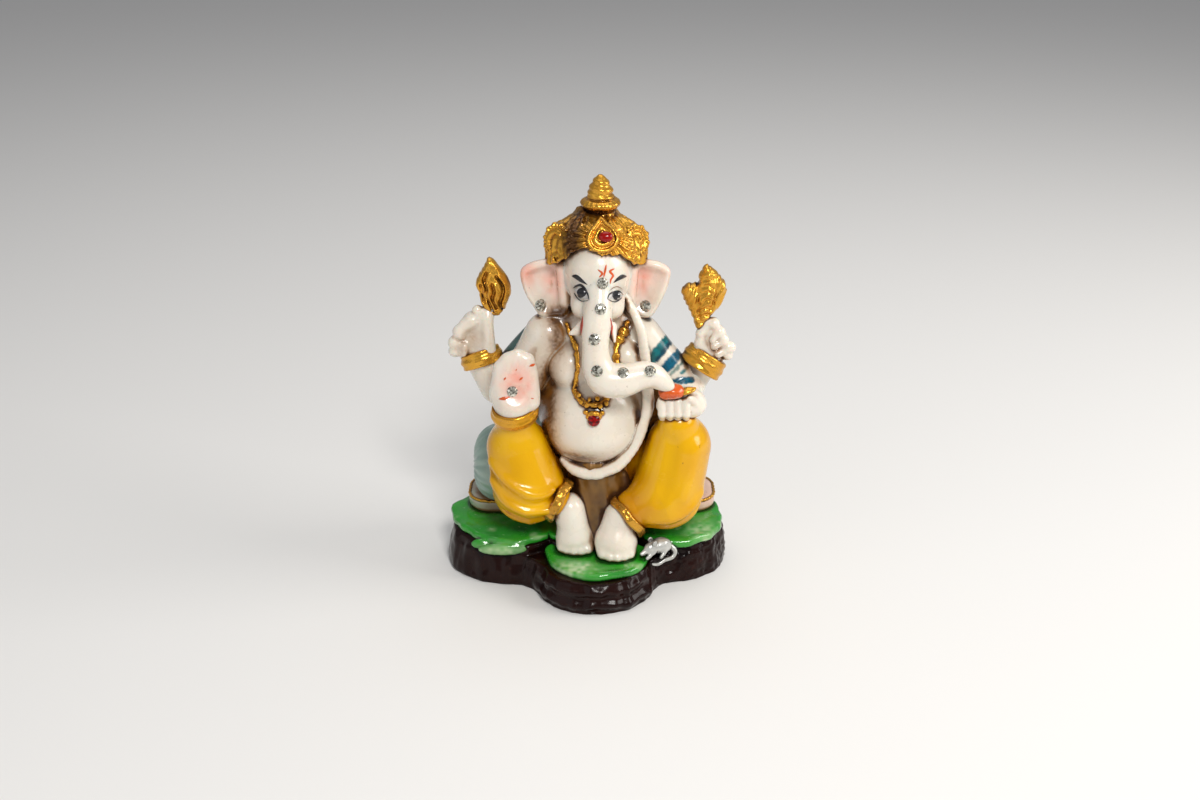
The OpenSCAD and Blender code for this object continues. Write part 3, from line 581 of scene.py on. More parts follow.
crown_right_rosette = rosette((-8.3, -0.8, 76.6), (-0.6, -0.76, 0.25), 3.7, 21)
crown_left_rosette = rosette((6.9, -0.8, 76.4), (0.6, -0.76, 0.25), 3.6, 22)


FINIAL_PROFILE = [(0, 89.9), (0.5, 89.8), (1, 89.4), (1.6, 88.6), (2.1, 87.7), (2.5, 86.9), (2.7, 86.2),
    (2.5, 85.9), (2.75, 85.6), (2.85, 85.2), (2.7, 84.9), (3.5, 84.7), (4.1, 84.25), (4.25, 83.8),
    (4, 83.3), (3.3, 82.7), (2.95, 82.1), (3.2, 81.5), (4.2, 80.8), (5.6, 80.2), (5.8, 79.6), (0, 79.6)]


def crown_finial(p):
    rad = np.hypot(p[:, 0] - 0.1, p[:, 1] - 2.2)
    a = np.arctan2(p[:, 1] - 2.2, p[:, 0] - 0.1)
    tilt = p[:, 2] + 0.16 * (p[:, 0] - 0.1)
    d = outline(rad, p[:, 2], FINIAL_PROFILE)
    d = d - 0.14 * np.cos(tilt * 4.1 + 0.9) * step(tilt, 85, 85.6) * (1 - step(tilt, 88.8, 89.6))
    d = d - 0.06 * np.cos(a * 22) * np.exp(-((p[:, 2] - 84.2) / 0.5) ** 2)
    d = d - 0.09 * np.cos(a * 14) * (1 - step(p[:, 2], 81.4, 82))
    return d - 0.05 * noise(p, 0.8, 23)


def bangle(c, axis, radius, wide, half0, seed):
    def field(p):
        h, r, a = ring(p, c, axis, radius)
        swell = 0.12 * np.cos(h * 3.4 + 0.8 * np.sin(a)) + 0.05 * noise(p, 0.8, seed)
        half = half0 * (1 - 0.25 * (h / wide) ** 2) + swell
        return rounded(np.abs(r + 0.06 * h) - half + F(0.45), np.abs(h) - F(wide - 0.45), 0.45)
    return field


rear_right_bangle = bangle((-25.8, 1.4, 49.2), (-0.31, 0.26, 0.91), 3.8, 1.75, 0.85, 31)
rear_left_bangle = bangle((22.6, 1, 48.5), (0.54, 0.22, 0.81), 4, 2.1, 0.85, 32)
front_right_bangle = bangle((-18.3, -8.2, 40.6), (-0.1, -0.24, 0.96), 4.3, 1.6, 0.8, 33)

BUD = smooth_outline([(-23.4, 72.5), (-24.6, 70.4), (-25.9, 68.2), (-26.5, 66.4), (-25.7, 64.4),
        (-25.4, 62.2), (-23.8, 60.1), (-21.8, 59.5), (-20.6, 60.9), (-19.7, 62.6), (-18.9, 65),
        (-19.5, 67.6), (-21.3, 70.4)], 3)


# Edges of the petals, on the bud's front and back.
PETALS = [[(-24, 0, 69.4), (-24.6, 0, 67.8), (-24.1, 0, 66), (-24.3, 0, 64.4), (-23.4, 0, 62.4),
        (-22.9, 0, 60.8)],
    [(-22.8, 0, 67), (-22.4, 0, 65.4), (-22.9, 0, 63.6), (-22.1, 0, 61.6)],
    [(-21.9, 0, 68.6), (-20.7, 0, 66.8), (-20.6, 0, 64.8), (-21.3, 0, 62.6), (-21, 0, 61.2)],
    [(-25.3, 0, 66.6), (-25, 0, 64.6), (-24.6, 0, 62.8)]]


def lotus_bud(p):
    flat = outline(p[:, 0], p[:, 2], BUD)
    half = 1 + 1.5 * np.sqrt(np.clip(-flat / 3.2, 0, 1))
    d = slab(flat, p[:, 1] - 0.4, half, 0.8)
    q = p * vec(1, 0, 1)
    for line in PETALS:
        lip = [(x + 0.6, 0, z) for x, _, z in line]
        d = creased(q, d, [(line, 0.36, 0.75), (lip, 0.3, -0.42)])
    d = d - 0.05 * np.cos((p[:, 0] * 0.8 + p[:, 2] * 0.35) * 7)
    return d - 0.08 * noise(p, 0.8, 41)


CONCH = smooth_outline([(22.9, 70.7), (21.4, 69.2), (20.8, 67.4), (20, 66.6), (18.4, 66.5), (17.4, 64.9),
        (18, 63), (19, 61), (20, 58.6), (20.9, 56.2), (22.2, 57.2), (23.6, 59.2), (25.3, 61.2),
        (26.6, 63.6), (26.8, 66.4), (25, 68.9)], 3)


CONCH_GROOVES = [([(20.9, 0, 67.2), (20.7, 0, 64.4), (20.9, 0, 61.2), (21.4, 0, 58.8)], 0.4, 0.45),
    ([(24.9, 0, 68.2), (24.8, 0, 65.6), (24, 0, 62.4), (22.9, 0, 60)], 0.4, 0.4)]


def conch(p):
    flat = outline(p[:, 0], p[:, 2], CONCH)
    half = 1 + 1.6 * np.sqrt(np.clip(-flat / 3, 0, 1))
    d = slab(flat, p[:, 1] - 0.4, half, 0.8)
    q = p * vec(1, 0, 1)
    up = p[:, 2] - 64
    core = step(p[:, 0] - 0.1 * up, 20.7, 21.5) * (1 - step(p[:, 0] - 0.16 * up, 24, 24.9))
    wave = p[:, 2] + 0.55 * np.abs(p[:, 0] - 22.7 - 0.12 * up) + 0.5 * noise(p, 1.8, 44)
    d = d - 0.2 * core * np.cos(wave * 3.7) - 0.12 * core * noise(p, 0.9, 45)
    d = d - 0.13 * (1 - core) * np.cos((p[:, 0] * 1.2 - p[:, 2] * 0.45 + 0.5 * noise(p, 2.2, 46)) * 4.4)
    return creased(q, d, CONCH_GROOVES) - 0.06 * noise(p, 0.7, 42)


def modak_dish(p):
    d = egg(p, (18, -10.9, 46.5), (2.3, 1.4, 0.7), turned(0, -12, 0))
    d = join(d, egg(p, (15.2, -10.4, 45.6), (2.4, 1.6, 0.7)), 0.5)
    return join(d, limb(p, (18.6, -11, 46.8), (20.2, -11.1, 47.3), 0.7, 0.2), 0.3)


def modak(p):
    d = egg(p, (15.2, -11.2, 46.6), (2.7, 2.1, 1.6))
    d = join(d, egg(p, (13.8, -11.4, 46.1), (1.5, 1.4, 1.1)), 0.5)
    return d - 0.12 * noise(p, 0.9, 43)


# The chain's middle line on the chest, as (x, z, radius).
CHAIN_AT = [(-7, 60, 0.5), (-6.2, 57.4, 0.5), (-5.3, 55, 0.45), (-5, 52.4, 0.45), (-4.9, 49.8, 0.45),
    (-5.2, 47.2, 0.45), (-5.4, 44.8, 0.5), (-4.8, 43.2, 0.6), (-3.8, 41.8, 0.6), (-2.4, 41.2, 0.6),
    (-1.2, 41.2, 0.6), (0.4, 41.6, 0.6), (1.6, 42.6, 0.5), (2.4, 44.8, 0.45), (3, 47.6, 0.5),
    (3.5, 50.4, 0.5), (3.6, 52.4, 0.5), (3.6, 54.3, 0.5), (4.2, 56.2, 0.6), (5, 58.2, 0.7),
    (5.8, 60.4, 0.5)]


def press(x, z, y, forms, lift=0):
    """Brings points of the upright plane at y to the forms' surface, going back and down along LOOK."""
    x, z = np.atleast_1d(np.asarray(x, F)), np.atleast_1d(np.asarray(z, F))
    p = np.stack([x, np.full_like(x, y), z], 1) - LOOK * 12

    def f(q):
        d = None
        for form, k in forms:
            e = form(q)
            d = e if d is None else join(d, e, k)
        return d

    best, least = p, f(p)
    for _ in range(70):
        p = p + LOOK * (0.85 * np.clip(f(p), -0.4, 2.5))[:, None]
        now = f(p)
        best = np.where((np.abs(now) < np.abs(least))[:, None], p, best)
        least = np.where(np.abs(now) < np.abs(least), now, least)
    p = best
    n = np.stack([f(p + o) - f(p - o) for o in 0.15 * np.eye(3, dtype=F)], 1)
    n = n / np.maximum(size(n), 1e-6)[:, None]
    return p + n * lift, n


# What the marks, the stones and the chain are pressed onto: forms and their fillets.
FACE = [(head, 1), (trunk, 1.8), (ear(-1), 0.7), (ear(1), 0.7)]
TORSO = [(belly, 0.1), (chest, 2.2)]
PALM = [(front_right_hand, 0.5)]


def chain_points():
    p, _ = press([c[0] for c in CHAIN_AT], [c[1] for c in CHAIN_AT], -6, TORSO, 0.25)
    return [(*map(float, q), c[2]) for q, c in zip(p, CHAIN_AT)]


CHAIN = chain_points()


def necklace(p):
    beads = enumerate(curve(CHAIN, 6))
    d = union((ball(p, c[:3], c[3] * (0.85 if i % 2 else 1.05)) for i, c in beads), 0.3)
    for i, r in ((-2, 1.3), (-3, 1.2), (-5, 0.9), (-6, 1.25)):
        d = join(d, egg(p, CHAIN[i][:3], (r, r * 0.7, r)), 0.3)
    return d - 0.16 * noise(p, 0.75, 51) - 0.08 * noise(p, 0.4, 53)


def pendant(p):
    d = egg(p, (-1.3, -9.9, 40.1), (1.75, 1, 1.75), turned(24, 0, 0))
    for x, y, z, r in ((-1.4, -9.3, 42.5, 0.8), (-2.7, -9.2, 42.5, 0.7), (0, -9.3, 42.3, 0.7),
            (1.3, -9, 42.8, 0.6), (-3.9, -8.8, 43, 0.6), (-2.9, -9.6, 41, 0.6), (0.4, -9.7, 40.9, 0.6),
            (-4.5, -8.4, 44.4, 0.5), (-0.6, -8.9, 43.8, 0.55), (-2.2, -8.9, 43.7, 0.5)):
        d = join(d, ball(p, (x, y, z), r), 0.15)
    return d - 0.1 * noise(p, 0.8, 52) - 0.1 * noise(p, 0.4, 54)


# ---------- base, cushion and bolster ----------
ROCK = smooth_outline([(-34.4, -1.4), (-33, -5.2), (-30.5, -7.9), (-26.4, -10.8), (-22.3, -12),
        (-17.2, -12.6), (-14.2, -15.6), (-12, -20), (-8.6, -23.2), (-4.3, -24.9), (0.4, -25.2),
        (6.5, -22.9), (10.8, -18), (13, -13), (16.6, -11.4), (20.6, -10.4), (25.8, -7), (28.2, -1.6),
        (28.4, 4.2), (25.6, 9.8), (20.4, 13.2), (17.6, 17.2), (13, 20.4), (8, 21.3), (2.5, 19.4),
        (-1.5, 17.2), (-5.5, 19.2), (-11, 20.8), (-16.8, 18.6), (-20.5, 15), (-26, 13.8), (-31.4, 9.8),
        (-34.2, 4)], 2)


# The high lobes of the rock: centre and radius.
LOBES = [((-20.8, 1.2), 13.6), ((16.4, 1.6), 12.2), ((-11, 10), 11), ((8, 10.5), 11), ((-2, 2), 14)]


def rock_base(p):
    x, y, z = p[:, 0], p[:, 1], p[:, 2]
    e = outline(x, y, ROCK) + 1.3 * step(z, 0.5, 9) + 0.25 * step(z, 7.5, 9.2)
    a = np.arctan2(y, x + 3)
    bulge = 0.65 * noise(p * vec(1, 1, 0.6), 4, 61) + 0.3 * noise(p * vec(1, 1, 0.8), 1.9, 62)
    right = step(x, 10, 15)
    rough = right * (0.45 * np.abs(noise(p, 1.6, 64)) + 0.22 * noise(p, 0.9, 63))
    flutes = 0.12 + 0.14 * step(np.abs(x), 13, 17) * step(y, -2, 4)
    flutes = flutes * np.sin(a * 38 + 2.4 * noise(p, 4, 65))
    ledge = 0.42 * np.cos(z * 1.9 + 1.2 * noise(p * vec(1, 1, 0.3), 5, 66)) * step(-y, 13, 18)
    e = e + (bulge + rough + flutes + ledge * 0.8 - 0.1) * step(z, -0.4, 0.9) * (1 - step(z, 8.6, 9.6))
    high = union(np.hypot(x - cx, y - cy) - r * 0.99 for (cx, cy), r in LOBES)
    high = within(within(e, high, 0.6), z - 9.3, 1)
    low = within(e, z - 6.9, 0.8)
    return within(join(high, low, 0.9), -z, 0.25)


PADS = {"front": smooth_outline([(-12.2, -9.4), (-11.6, -13.8), (-9.4, -18.4), (-5.4, -21.4), (0, -22.7),
            (5.4, -21), (9.2, -17.4), (10.8, -13.2), (10, -9.5), (5, -6.6), (-1, -6), (-8, -6.6)], 3),
    "right": smooth_outline([(-34.2, 5.8), (-33.7, 1.6), (-32.2, -2.4), (-29.6, -6), (-24.6, -9.9),
            (-19.4, -11.2), (-14.6, -10.2), (-10.5, -6.6), (-9.6, 0), (-11, 8), (-16, 12.5), (-23, 14),
            (-30, 11.6)], 3),
    "left": smooth_outline([(27.8, 1), (27, -4), (23.6, -8.9), (18.9, -11.3), (14.6, -11.2), (10, -8),
            (7, -2), (6.5, 4), (9, 10), (15, 13.4), (22, 12.4), (26.8, 7.2)], 3)}


def pad(which, z0, seed):
    def field(p):
        a = np.arctan2(p[:, 1], p[:, 0] - np.mean([q[0] for q in PADS[which]]))
        flat = outline(p[:, 0], p[:, 1], PADS[which]) + 0.14 * np.sin(a * 13 + seed)
        rim = step(flat, -2.6, -0.4)
        z = p[:, 2] - z0 - 0.78 + 0.35 * rim * (0.6 + 0.5 * np.sin(a * 7 + 2 * seed))
        z = z - 0.1 * noise(p * vec(1, 1, 0), 2.4, seed)
        return slab(flat, z, 0.76 + 0.22 * rim, 0.8)
    return field


leaf_front = pad("front", 6.8, 1)
leaf_left = pad("left", 9.2, 3)


def leaf_right(p):
    d = pad("right", 9.2, 2)(p)
    d = join(d, egg(p, (-21.6, -11.2, 8.4), (5.4, 1, 1.5), turned(10, 0, 0)), 0.7)
    return join(d, egg(p, (-26.4, -9.6, 8.9), (2.2, 0.9, 1.2)), 0.7)


def leaf_rear(p):
    rounds = (((-11, 10), 10), ((8, 10.5), 10), ((-2, 2), 13.6))
    d = union((np.hypot(p[:, 0] - x, p[:, 1] - y) - r for (x, y), r in rounds), 1.5)
    return slab(d, p[:, 2] - 9.93 - 0.1 * noise(p * vec(1, 1, 0), 2.4, 4), 0.72, 0.6)


CUSHION = (-1.9, 8.4, 28.3, 6.8)  # middle x and y, half length, half depth
CORNER = 5  # radius of its corners in plan


def cushion_plan(p, inset):
    """Plan distance to the cushion's outline, with round corners."""
    x, y, half_x, half_y = CUSHION
    u, v = np.abs(p[:, 0] - x) - (half_x - inset), np.abs(p[:, 1] - y) - (half_y - inset)
    return rounded(u + CORNER, v + CORNER, CORNER)


def seat_cushion(p):
    return slab(cushion_plan(p, 0), p[:, 2] - 12.2, 1.75 + 0.06 * np.sin(p[:, 0] * 0.7), 1.3)


def cushion_piping(p):
    flat = cushion_plan(p, 0.2)
    twist = 0.05 * np.sin((p[:, 0] + p[:, 1] + p[:, 2] * 0.8) * 4.4)
    return np.hypot(flat, p[:, 2] - 13.5) - 0.4 + twist


def back_bolster(p):
    x = np.abs(p[:, 0] + 2.6) - 26 + 6.5
    r = np.hypot(p[:, 1] - 7.4, p[:, 2] - 20.7) - 9.2 + 6.5
    d = rounded(x, r, 6.5)
    a = np.arctan2(p[:, 2] - 20.7, p[:, 1] - 7.4)
    gather = 0.22 * np.cos(a * 18) * step(np.abs(p[:, 0] + 2.6), 20, 25)
    q = np.stack([np.abs(p[:, 0] + 2.6), r, r * 0], 1)
    d = d + gather + groove(q, [(20.5, 6.5, 0), (20.5, 7, 0)], 0.5, 0.3, 1)
    return within(d, 13.6 - p[:, 2], 0.5)


# ---------- mouse ----------
def mouse(p):
    d = egg(p, (13.4, -12.7, 10.3), (2.5, 1.9, 1.8), turned(0, 8, 30))
    d = join(d, egg(p, (11.2, -14.2, 10.6), (1.5, 1.25, 1.2), turned(0, -10, 30)), 0.7)
    d = join(d, limb(p, (10.6, -14.6, 10.3), (9.1, -15.6, 9.7), 0.85, 0.4), 0.4)
    for x, y in ((11, -13.1), (12, -14.9)):
        d = join(d, egg(p, (x, y, 11.9), (0.65, 0.35, 0.75), turned(0, 0, 30)), 0.25)
    for a, b in (((11.8, -14.8, 9.8), (10.3, -15.9, 8.8)), ((11.2, -13.6, 9.6), (9.6, -14.2, 8.8)),
            ((14.4, -13.6, 9.6), (13.4, -14.9, 8.6))):
        d = join(d, limb(p, a, b, 0.55, 0.38), 0.35)
    return d + 0.1 * noise(p, 0.9, 81)


TAIL = [(15.4, -11.9, 9.8, 0.6), (16.5, -12.2, 8.6, 0.55), (15.9, -12.9, 7.4, 0.5),
    (14.2, -13.8, 7.2, 0.45), (12.8, -14.6, 6.6, 0.38), (11.6, -15, 6.8, 0.3)]


def mouse_tail(p):
    return tube(p, TAIL, 3, 0.1)


# The figure, cast as one: each form's name, its distance, and its fillet with those before it.
SKIN = [("belly", belly, 0.1), ("chest", chest, 2.2), ("head", head, 1), ("trunk", trunk, 1.8),
    ("right_ear", ear(-1), 0.7), ("left_ear", ear(1), 0.7), ("right_tusk", tusk(-1), 0.25),
    ("left_tusk", tusk(1), 0.25), ("shawl_right", shawl_right, 0.4), ("shawl_left", shawl_left, 0.8),
    ("shawl_back", shawl_back, 0.8), ("rear_right_arm", rear_right_arm, 0.6),
    ("rear_left_arm", rear_left_arm, 0.6), ("front_right_arm", front_right_arm, 0.45),
    ("front_left_arm", front_left_arm, 0.8), ("rear_right_hand", rear_right_hand, 0.8),
    ("rear_left_hand", rear_left_hand, 0.8), ("front_right_hand", front_right_hand, 0.8),
    ("front_left_hand", front_left_hand, 0.5), ("sacred_thread", sacred_thread, 0.3),
    ("right_foot", right_foot, 0.3), ("left_foot", left_foot, 0.3)]

# What was modelled on its own: each form's name, its distance, and the grid step for its mesh.
OTHER = [("rock_base", rock_base, 0.25), ("leaf_front", leaf_front, 0.25), ("leaf_right", leaf_right, 0.25),
    ("leaf_left", leaf_left, 0.25), ("leaf_rear", leaf_rear, 0.333), ("seat_cushion", seat_cushion, 0.333),
    ("cushion_piping", cushion_piping, 0.2), ("back_bolster", back_bolster, 0.333),
    ("dhoti_seat", dhoti_seat, 0.4), ("dhoti_right_leg", dhoti_right_leg, 0.25),
    ("dhoti_left_leg", dhoti_left_leg, 0.25), ("dhoti_pleat", dhoti_pleat, 0.25),
    ("right_hem", right_hem, 0.2), ("left_hem", left_hem, 0.2), ("crown", crown, 0.2),
    ("crown_crest", crown_crest, 0.2), ("crown_right_rosette", crown_right_rosette, 0.2),
    ("crown_left_rosette", crown_left_rosette, 0.2), ("crown_finial", crown_finial, 0.2),
    ("rear_right_bangle", rear_right_bangle, 0.2), ("rear_left_bangle", rear_left_bangle, 0.2),
    ("front_right_bangle", front_right_bangle, 0.2), ("lotus_bud", lotus_bud, 0.2), ("conch", conch, 0.2),
    ("modak_dish", modak_dish, 0.2), ("modak", modak, 0.2), ("necklace", necklace, 0.2),
    ("pendant", pendant, 0.2), ("mouse", mouse, 0.2), ("mouse_tail", mouse_tail, 0.2),
    ("crown_ruby", crown_ruby, 0.1)]


# ---------- from forms to meshes ----------
FINE, ROUGH = 0.25, 0.4
BLOCK = 2  # edge of the blocks that the space round the figure is first searched in
LOW = vec(-42, -34, -6)  # lowest corner of that space
COUNT = (40, 32, 50)  # blocks along X, Y and Z
NEAR = 1.74 + 0.5  # half the diagonal of a block, and a little over


def coarse(field):
    """A form's distance at the centre of every block of the space round the figure."""
    i = np.stack(np.meshgrid(*[np.arange(n) for n in COUNT], indexing="ij"), -1).reshape(-1, 3)
    return field((LOW + (i + 0.5) * BLOCK).astype(F)).reshape(COUNT)


def sample(p, where, value, field):
    """Evaluates a form only at the points whose block it comes near; elsewhere it keeps the value given."""
    b = np.clip(((p - LOW) / BLOCK).astype(int), 0, np.array(COUNT) - 1)
    pick = np.flatnonzero(np.abs(where[b[:, 0], b[:, 1], b[:, 2]]) < NEAR)
    if len(pick):
        value[pick] = field(p[pick])


def grow(parts, h):
    """Distance and label at every grid point near the parts. parts: (name, field, fillet)."""
    m = int(round(BLOCK / h))
    h = BLOCK / m
    maps = [coarse(f) for _, f, _ in parts]
    total = maps[0]
    for c, (_, _, k) in zip(maps[1:], parts[1:]):
        total = join(total, c, k)
    label = np.argmin(np.stack(maps), 0) + 1
    active = np.abs(total) < NEAR + 0.3
    where = np.argwhere(active)
    lo, hi = where.min(0) - 1, where.max(0) + 2
    cut = tuple(slice(a, b) for a, b in zip(lo, hi))
    big = lambda v: np.repeat(np.repeat(np.repeat(v[cut], m, 0), m, 1), m, 2)
    dist, lab = big(total).astype(F), big(np.where(total < 0, label, 0)).astype(np.uint8)
    shape = tuple(hi - lo)
    d6 = dist.reshape(shape[0], m, shape[1], m, shape[2], m)
    l6 = lab.reshape(shape[0], m, shape[1], m, shape[2], m)
    cell = np.stack(np.meshgrid(*[np.arange(m)] * 3, indexing="ij"), -1).reshape(-1, 3) * h
    for start in range(0, len(where), 2000):
        ids = where[start:start + 2000]
        p = ((LOW + ids * BLOCK)[:, None, :] + cell[None]).reshape(-1, 3).astype(F)
        best = np.full(len(p), FAR, F)
        both = None
        name = np.ones(len(p), np.uint8)
        for n, ((_, f, k), c) in enumerate(zip(parts, maps)):
            pick = np.flatnonzero(np.repeat(c[ids[:, 0], ids[:, 1], ids[:, 2]] < NEAR + 2 + k, m ** 3))
            if not len(pick):
                continue
            e = f(p[pick]).astype(F)
            if both is None:
                both = np.full(len(p), FAR, F)
            both[pick] = join(both[pick], e, k)
            won = e < best[pick]
            best[pick] = np.where(won, e, best[pick])
            name[pick] = np.where(won, n + 1, name[pick])
        j = ids - lo
        d6[j[:, 0], :, j[:, 1], :, j[:, 2], :] = both.reshape(-1, m, m, m)
        l6[j[:, 0], :, j[:, 1], :, j[:, 2], :] = np.where(both < 0, name, 0).reshape(-1, m, m, m)
    return dist, lab, LOW + lo * BLOCK, h


def lookup(dist, q):
    """Values of a grid at points given in grid steps."""
    q = np.clip(q, 0, np.array(dist.shape) - 1.001)
    i = q.astype(int)
    return trilinear((q - i).astype(F), lambda x, y, z: dist[i[:, 0] + x, i[:, 1] + y, i[:, 2] + z])


def slope(dist, q):
    g = np.stack([lookup(dist, q + o) - lookup(dist, q - o) for o in 0.7 * np.eye(3)], 1)
    return g / np.maximum(size(g), 1e-6)[:, None]


def nets(dist, lab, origin, h, count):
    """Surface nets. Each label gets a closed mesh, and neighbours share their seam's points."""
    corners = [(x, y, z) for x in (0, 1) for y in (0, 1) for z in (0, 1)]
    cut = lambda v, c: v[tuple(slice(i, n - 1 + i) for i, n in zip(c, v.shape))]
    first = cut(lab, (0, 0, 0))
    mixed = np.zeros(first.shape, bool)
    for c in corners[1:]:
        mixed |= cut(lab, c) != first
    cells = np.argwhere(mixed)
    index = np.full(first.shape, -1, np.int32)
    index[mixed] = np.arange(len(cells))
    v, l = ([grid[tuple((cells + c).T)] for c in corners] for grid in (dist, lab))
    outer, inner = np.zeros((len(cells), 3)), np.zeros((len(cells), 3))
    n_outer, n_inner = np.zeros(len(cells)), np.zeros(len(cells))
    for a in range(8):
        for b in range(a + 1, 8):
            along = [j - i for i, j in zip(corners[a], corners[b])]
            if sum(map(abs, along)) != 1:
                continue
            skin = (l[a] == 0) != (l[b] == 0)
            wall = (l[a] != l[b]) & ~skin
            t = np.where(skin, v[a] / np.where(skin, v[a] - v[b], 1), 0.5)
            at = np.array(corners[a]) + np.clip(t, 0, 1)[:, None] * np.array(along)
            outer += at * skin[:, None]
            inner += at * wall[:, None]
            n_outer += skin
            n_inner += wall
    is_skin = n_outer > 0
    outer, inner = outer / np.maximum(n_outer, 1)[:, None], inner / np.maximum(n_inner, 1)[:, None]
    q = cells + np.where(is_skin[:, None], outer, inner)
    for _ in range(2):
        g = slope(dist, q)
        move = -(lookup(dist, q) / h)[:, None] * g
        q = q + np.where(is_skin[:, None], np.clip(move, -0.35, 0.35), 0)
    normal = slope(dist, q)
    meshes = {n: [] for n in range(1, count + 1)}
    for axis in range(3):
        u, w = [(1, 2), (2, 0), (0, 1)][axis]
        ends = slice(0, -1), slice(1, None)
        a, b = (lab[tuple(end if i == axis else slice(1, -1) for i in range(3))] for end in ends)
        at = np.argwhere(a != b)
        if not len(at):
            continue
        la, lb = a[tuple(at.T)], b[tuple(at.T)]
        base = at + [int(i != axis) for i in range(3)]
        quad = []
        for du, dw in ((1, 1), (0, 1), (0, 0), (1, 0)):
            c = base.copy()
            c[:, u] -= du
            c[:, w] -= dw
            quad.append(index[c[:, 0], c[:, 1], c[:, 2]])
        quad = np.stack(quad, 1)
        good = (quad >= 0).all(1)
        for n in range(1, count + 1):
            for side, turn in ((la, 1), (lb, -1)):
                s = (side == n) & good
                if s.any():
                    meshes[n].append(quad[s][:, ::turn])
    point = (origin + q * h).astype(F)
    return point, normal.astype(F), is_skin, {n: np.vstack(f) for n, f in meshes.items() if f}


def linear(c):
    return tuple(v / 12.92 if v <= 0.04045 else ((v + 0.055) / 1.055) ** 2.4 for v in c)


def rgb(r, g, b):
    return vec(*linear((r / 255, g / 255, b / 255)))


def blend(a, b, t):
    return a * (1 - t[:, None]) + b * t[:, None]


def add_mesh(name, points, faces, slot, node=None, normal=None, smooth=True):
    mesh = bpy.data.meshes.new(name)
    mesh.from_pydata([], [], [])
    mesh.vertices.add(len(points))
    mesh.vertices.foreach_set("co", (np.asarray(points, F) * F(MM)).ravel())
    faces = np.asarray(faces, np.int32)
    mesh.loops.add(faces.size)
    mesh.loops.foreach_set("vertex_index", faces.ravel())
    mesh.polygons.add(len(faces))
    mesh.polygons.foreach_set("loop_start", np.arange(len(faces), dtype=np.int32) * faces.shape[1])
    mesh.polygons.foreach_set("use_smooth", np.full(len(faces), smooth))
    mesh.update(calc_edges=True)
    mesh.validate()
    if normal is not None:
        mesh.normals_split_custom_set_from_vertices(normal.tolist())
    obj = bpy.data.objects.new(name, mesh)
    bpy.context.collection.objects.link(obj)
    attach(obj, "root")
    if node:
        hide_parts(node)
    return obj


def put(mesh, name, values):
    values = np.asarray(values, F)
    if values.ndim == 1:
        mesh.attributes.new(name, "FLOAT", "POINT").data.foreach_set("value", values)
    else:
        full = np.ones((len(values), 4), F)
        full[:, :3] = values
        mesh.attributes.new(name, "FLOAT_COLOR", "POINT").data.foreach_set("color", full.ravel())


ALL = [(n, f) for n, f, _ in SKIN] + [(n, f) for n, f, _ in OTHER]
MAPS = {n: coarse(f) for n, f in ALL}


# The materials darken colour by this measure: painted shade in creases and where parts meet, with the brown
# wash of the finish.
def hollows(p, normal):
    """How deep in a crease each point is, from 0 in the open to 1, by stepping out along its normal."""
    out = np.zeros(len(p), F)
    for reach, weight in ((0.35, 0.25), (0.9, 0.28), (2, 0.27), (4.2, 0.2)):
        q = p + normal * F(reach)
        least = np.full(len(p), reach, F)
        for n, f in ALL:
            value = np.full(len(p), FAR, F)
            sample(q, MAPS[n], value, f)
            np.minimum(least, value, out=least)
        out += weight * (1 - np.clip(least / reach, 0, 1))
    return out


# ---------- colours laid on ------------------
CREAM = rgb(234, 228, 216)
WARM = rgb(214, 190, 158)
BLUSH = rgb(240, 150, 128)
# Brown colours of the darkening in hollows: painted shade, with the brown wash of the finish.
GOLD_WASH_AND_SHADE = rgb(150, 98, 34)
BROWN_WASH_AND_SHADE = rgb(62, 34, 16)


def spot(p, c, r):
    return np.exp(-(size((p - vec(*c)) / vec(*(r if isinstance(r, tuple) else (r, r, r))))) ** 2)


def spots(p, rows):
    """Soft dabs added together. rows: (strength, middle, radii)."""
    return sum(k * spot(p, c, r) for k, c, r in rows)


def tinted(p, colour, other, t):
    return blend(np.tile(colour, (len(p), 1)), other, t)


# Dabs of colour on the figure: strength, middle, radii.
EAR_BLUSH = {"right_ear": [(0.9, (-15.6, 0, 69.4), (2.8, 9, 2.8)), (0.95, (-9.6, -1, 67.6), (2.3, 9, 4.2))],
    "left_ear": [(0.36, (14.4, 0, 69.4), (2.8, 9, 2.8)), (0.95, (8.8, -1, 67.6), (2.3, 9, 4.2))]}
# Painted shade round the eyes.
EYE_SHADE = [(0.5, (-4.7, -7, 67.6), (1.9, 5, 2)), (0.35, (3.6, -7, 67), (1.7, 5, 1.6))]
# Painted shade in the dips of the rear hands.
HAND_DIP_SHADE = [(0.6, (-27.4, -2, 54.6), (2.2, 2, 2.4)), (0.35, (-30, -2, 52.2), (1.4, 2, 1.6)),
    (0.4, (25, -2, 52.6), (1.8, 2, 2))]
# Brown darkening in the hollows of the front: the armpits, the neck, the navel and the sides; painted shade,
# with the brown wash of the finish.
BODY_WASH_AND_SHADE = [(0.75, (-9, -4, 55.5), (2.6, 7, 5)), (0.8, (-11.6, -3, 45), (2.6, 7, 6)),
    (0.8, (-11.4, -5, 34.6), (3, 9, 7)), (0.9, (-8.6, 0, 60.2), (3.6, 7, 2.2)),
    (0.85, (-4.3, -10, 30.2), (4.6, 4, 1.9)), (0.6, (11.4, 0, 42), (3, 9, 7)),
    (0.4, (-4.4, -6, 52), (1.6, 5, 6)), (0.35, (6, -3, 58.5), (2.2, 6, 3))]
WASHED_AND_SHADED = ("front_right_arm", "rear_right_arm", "belly", "chest", "head", "right_ear")


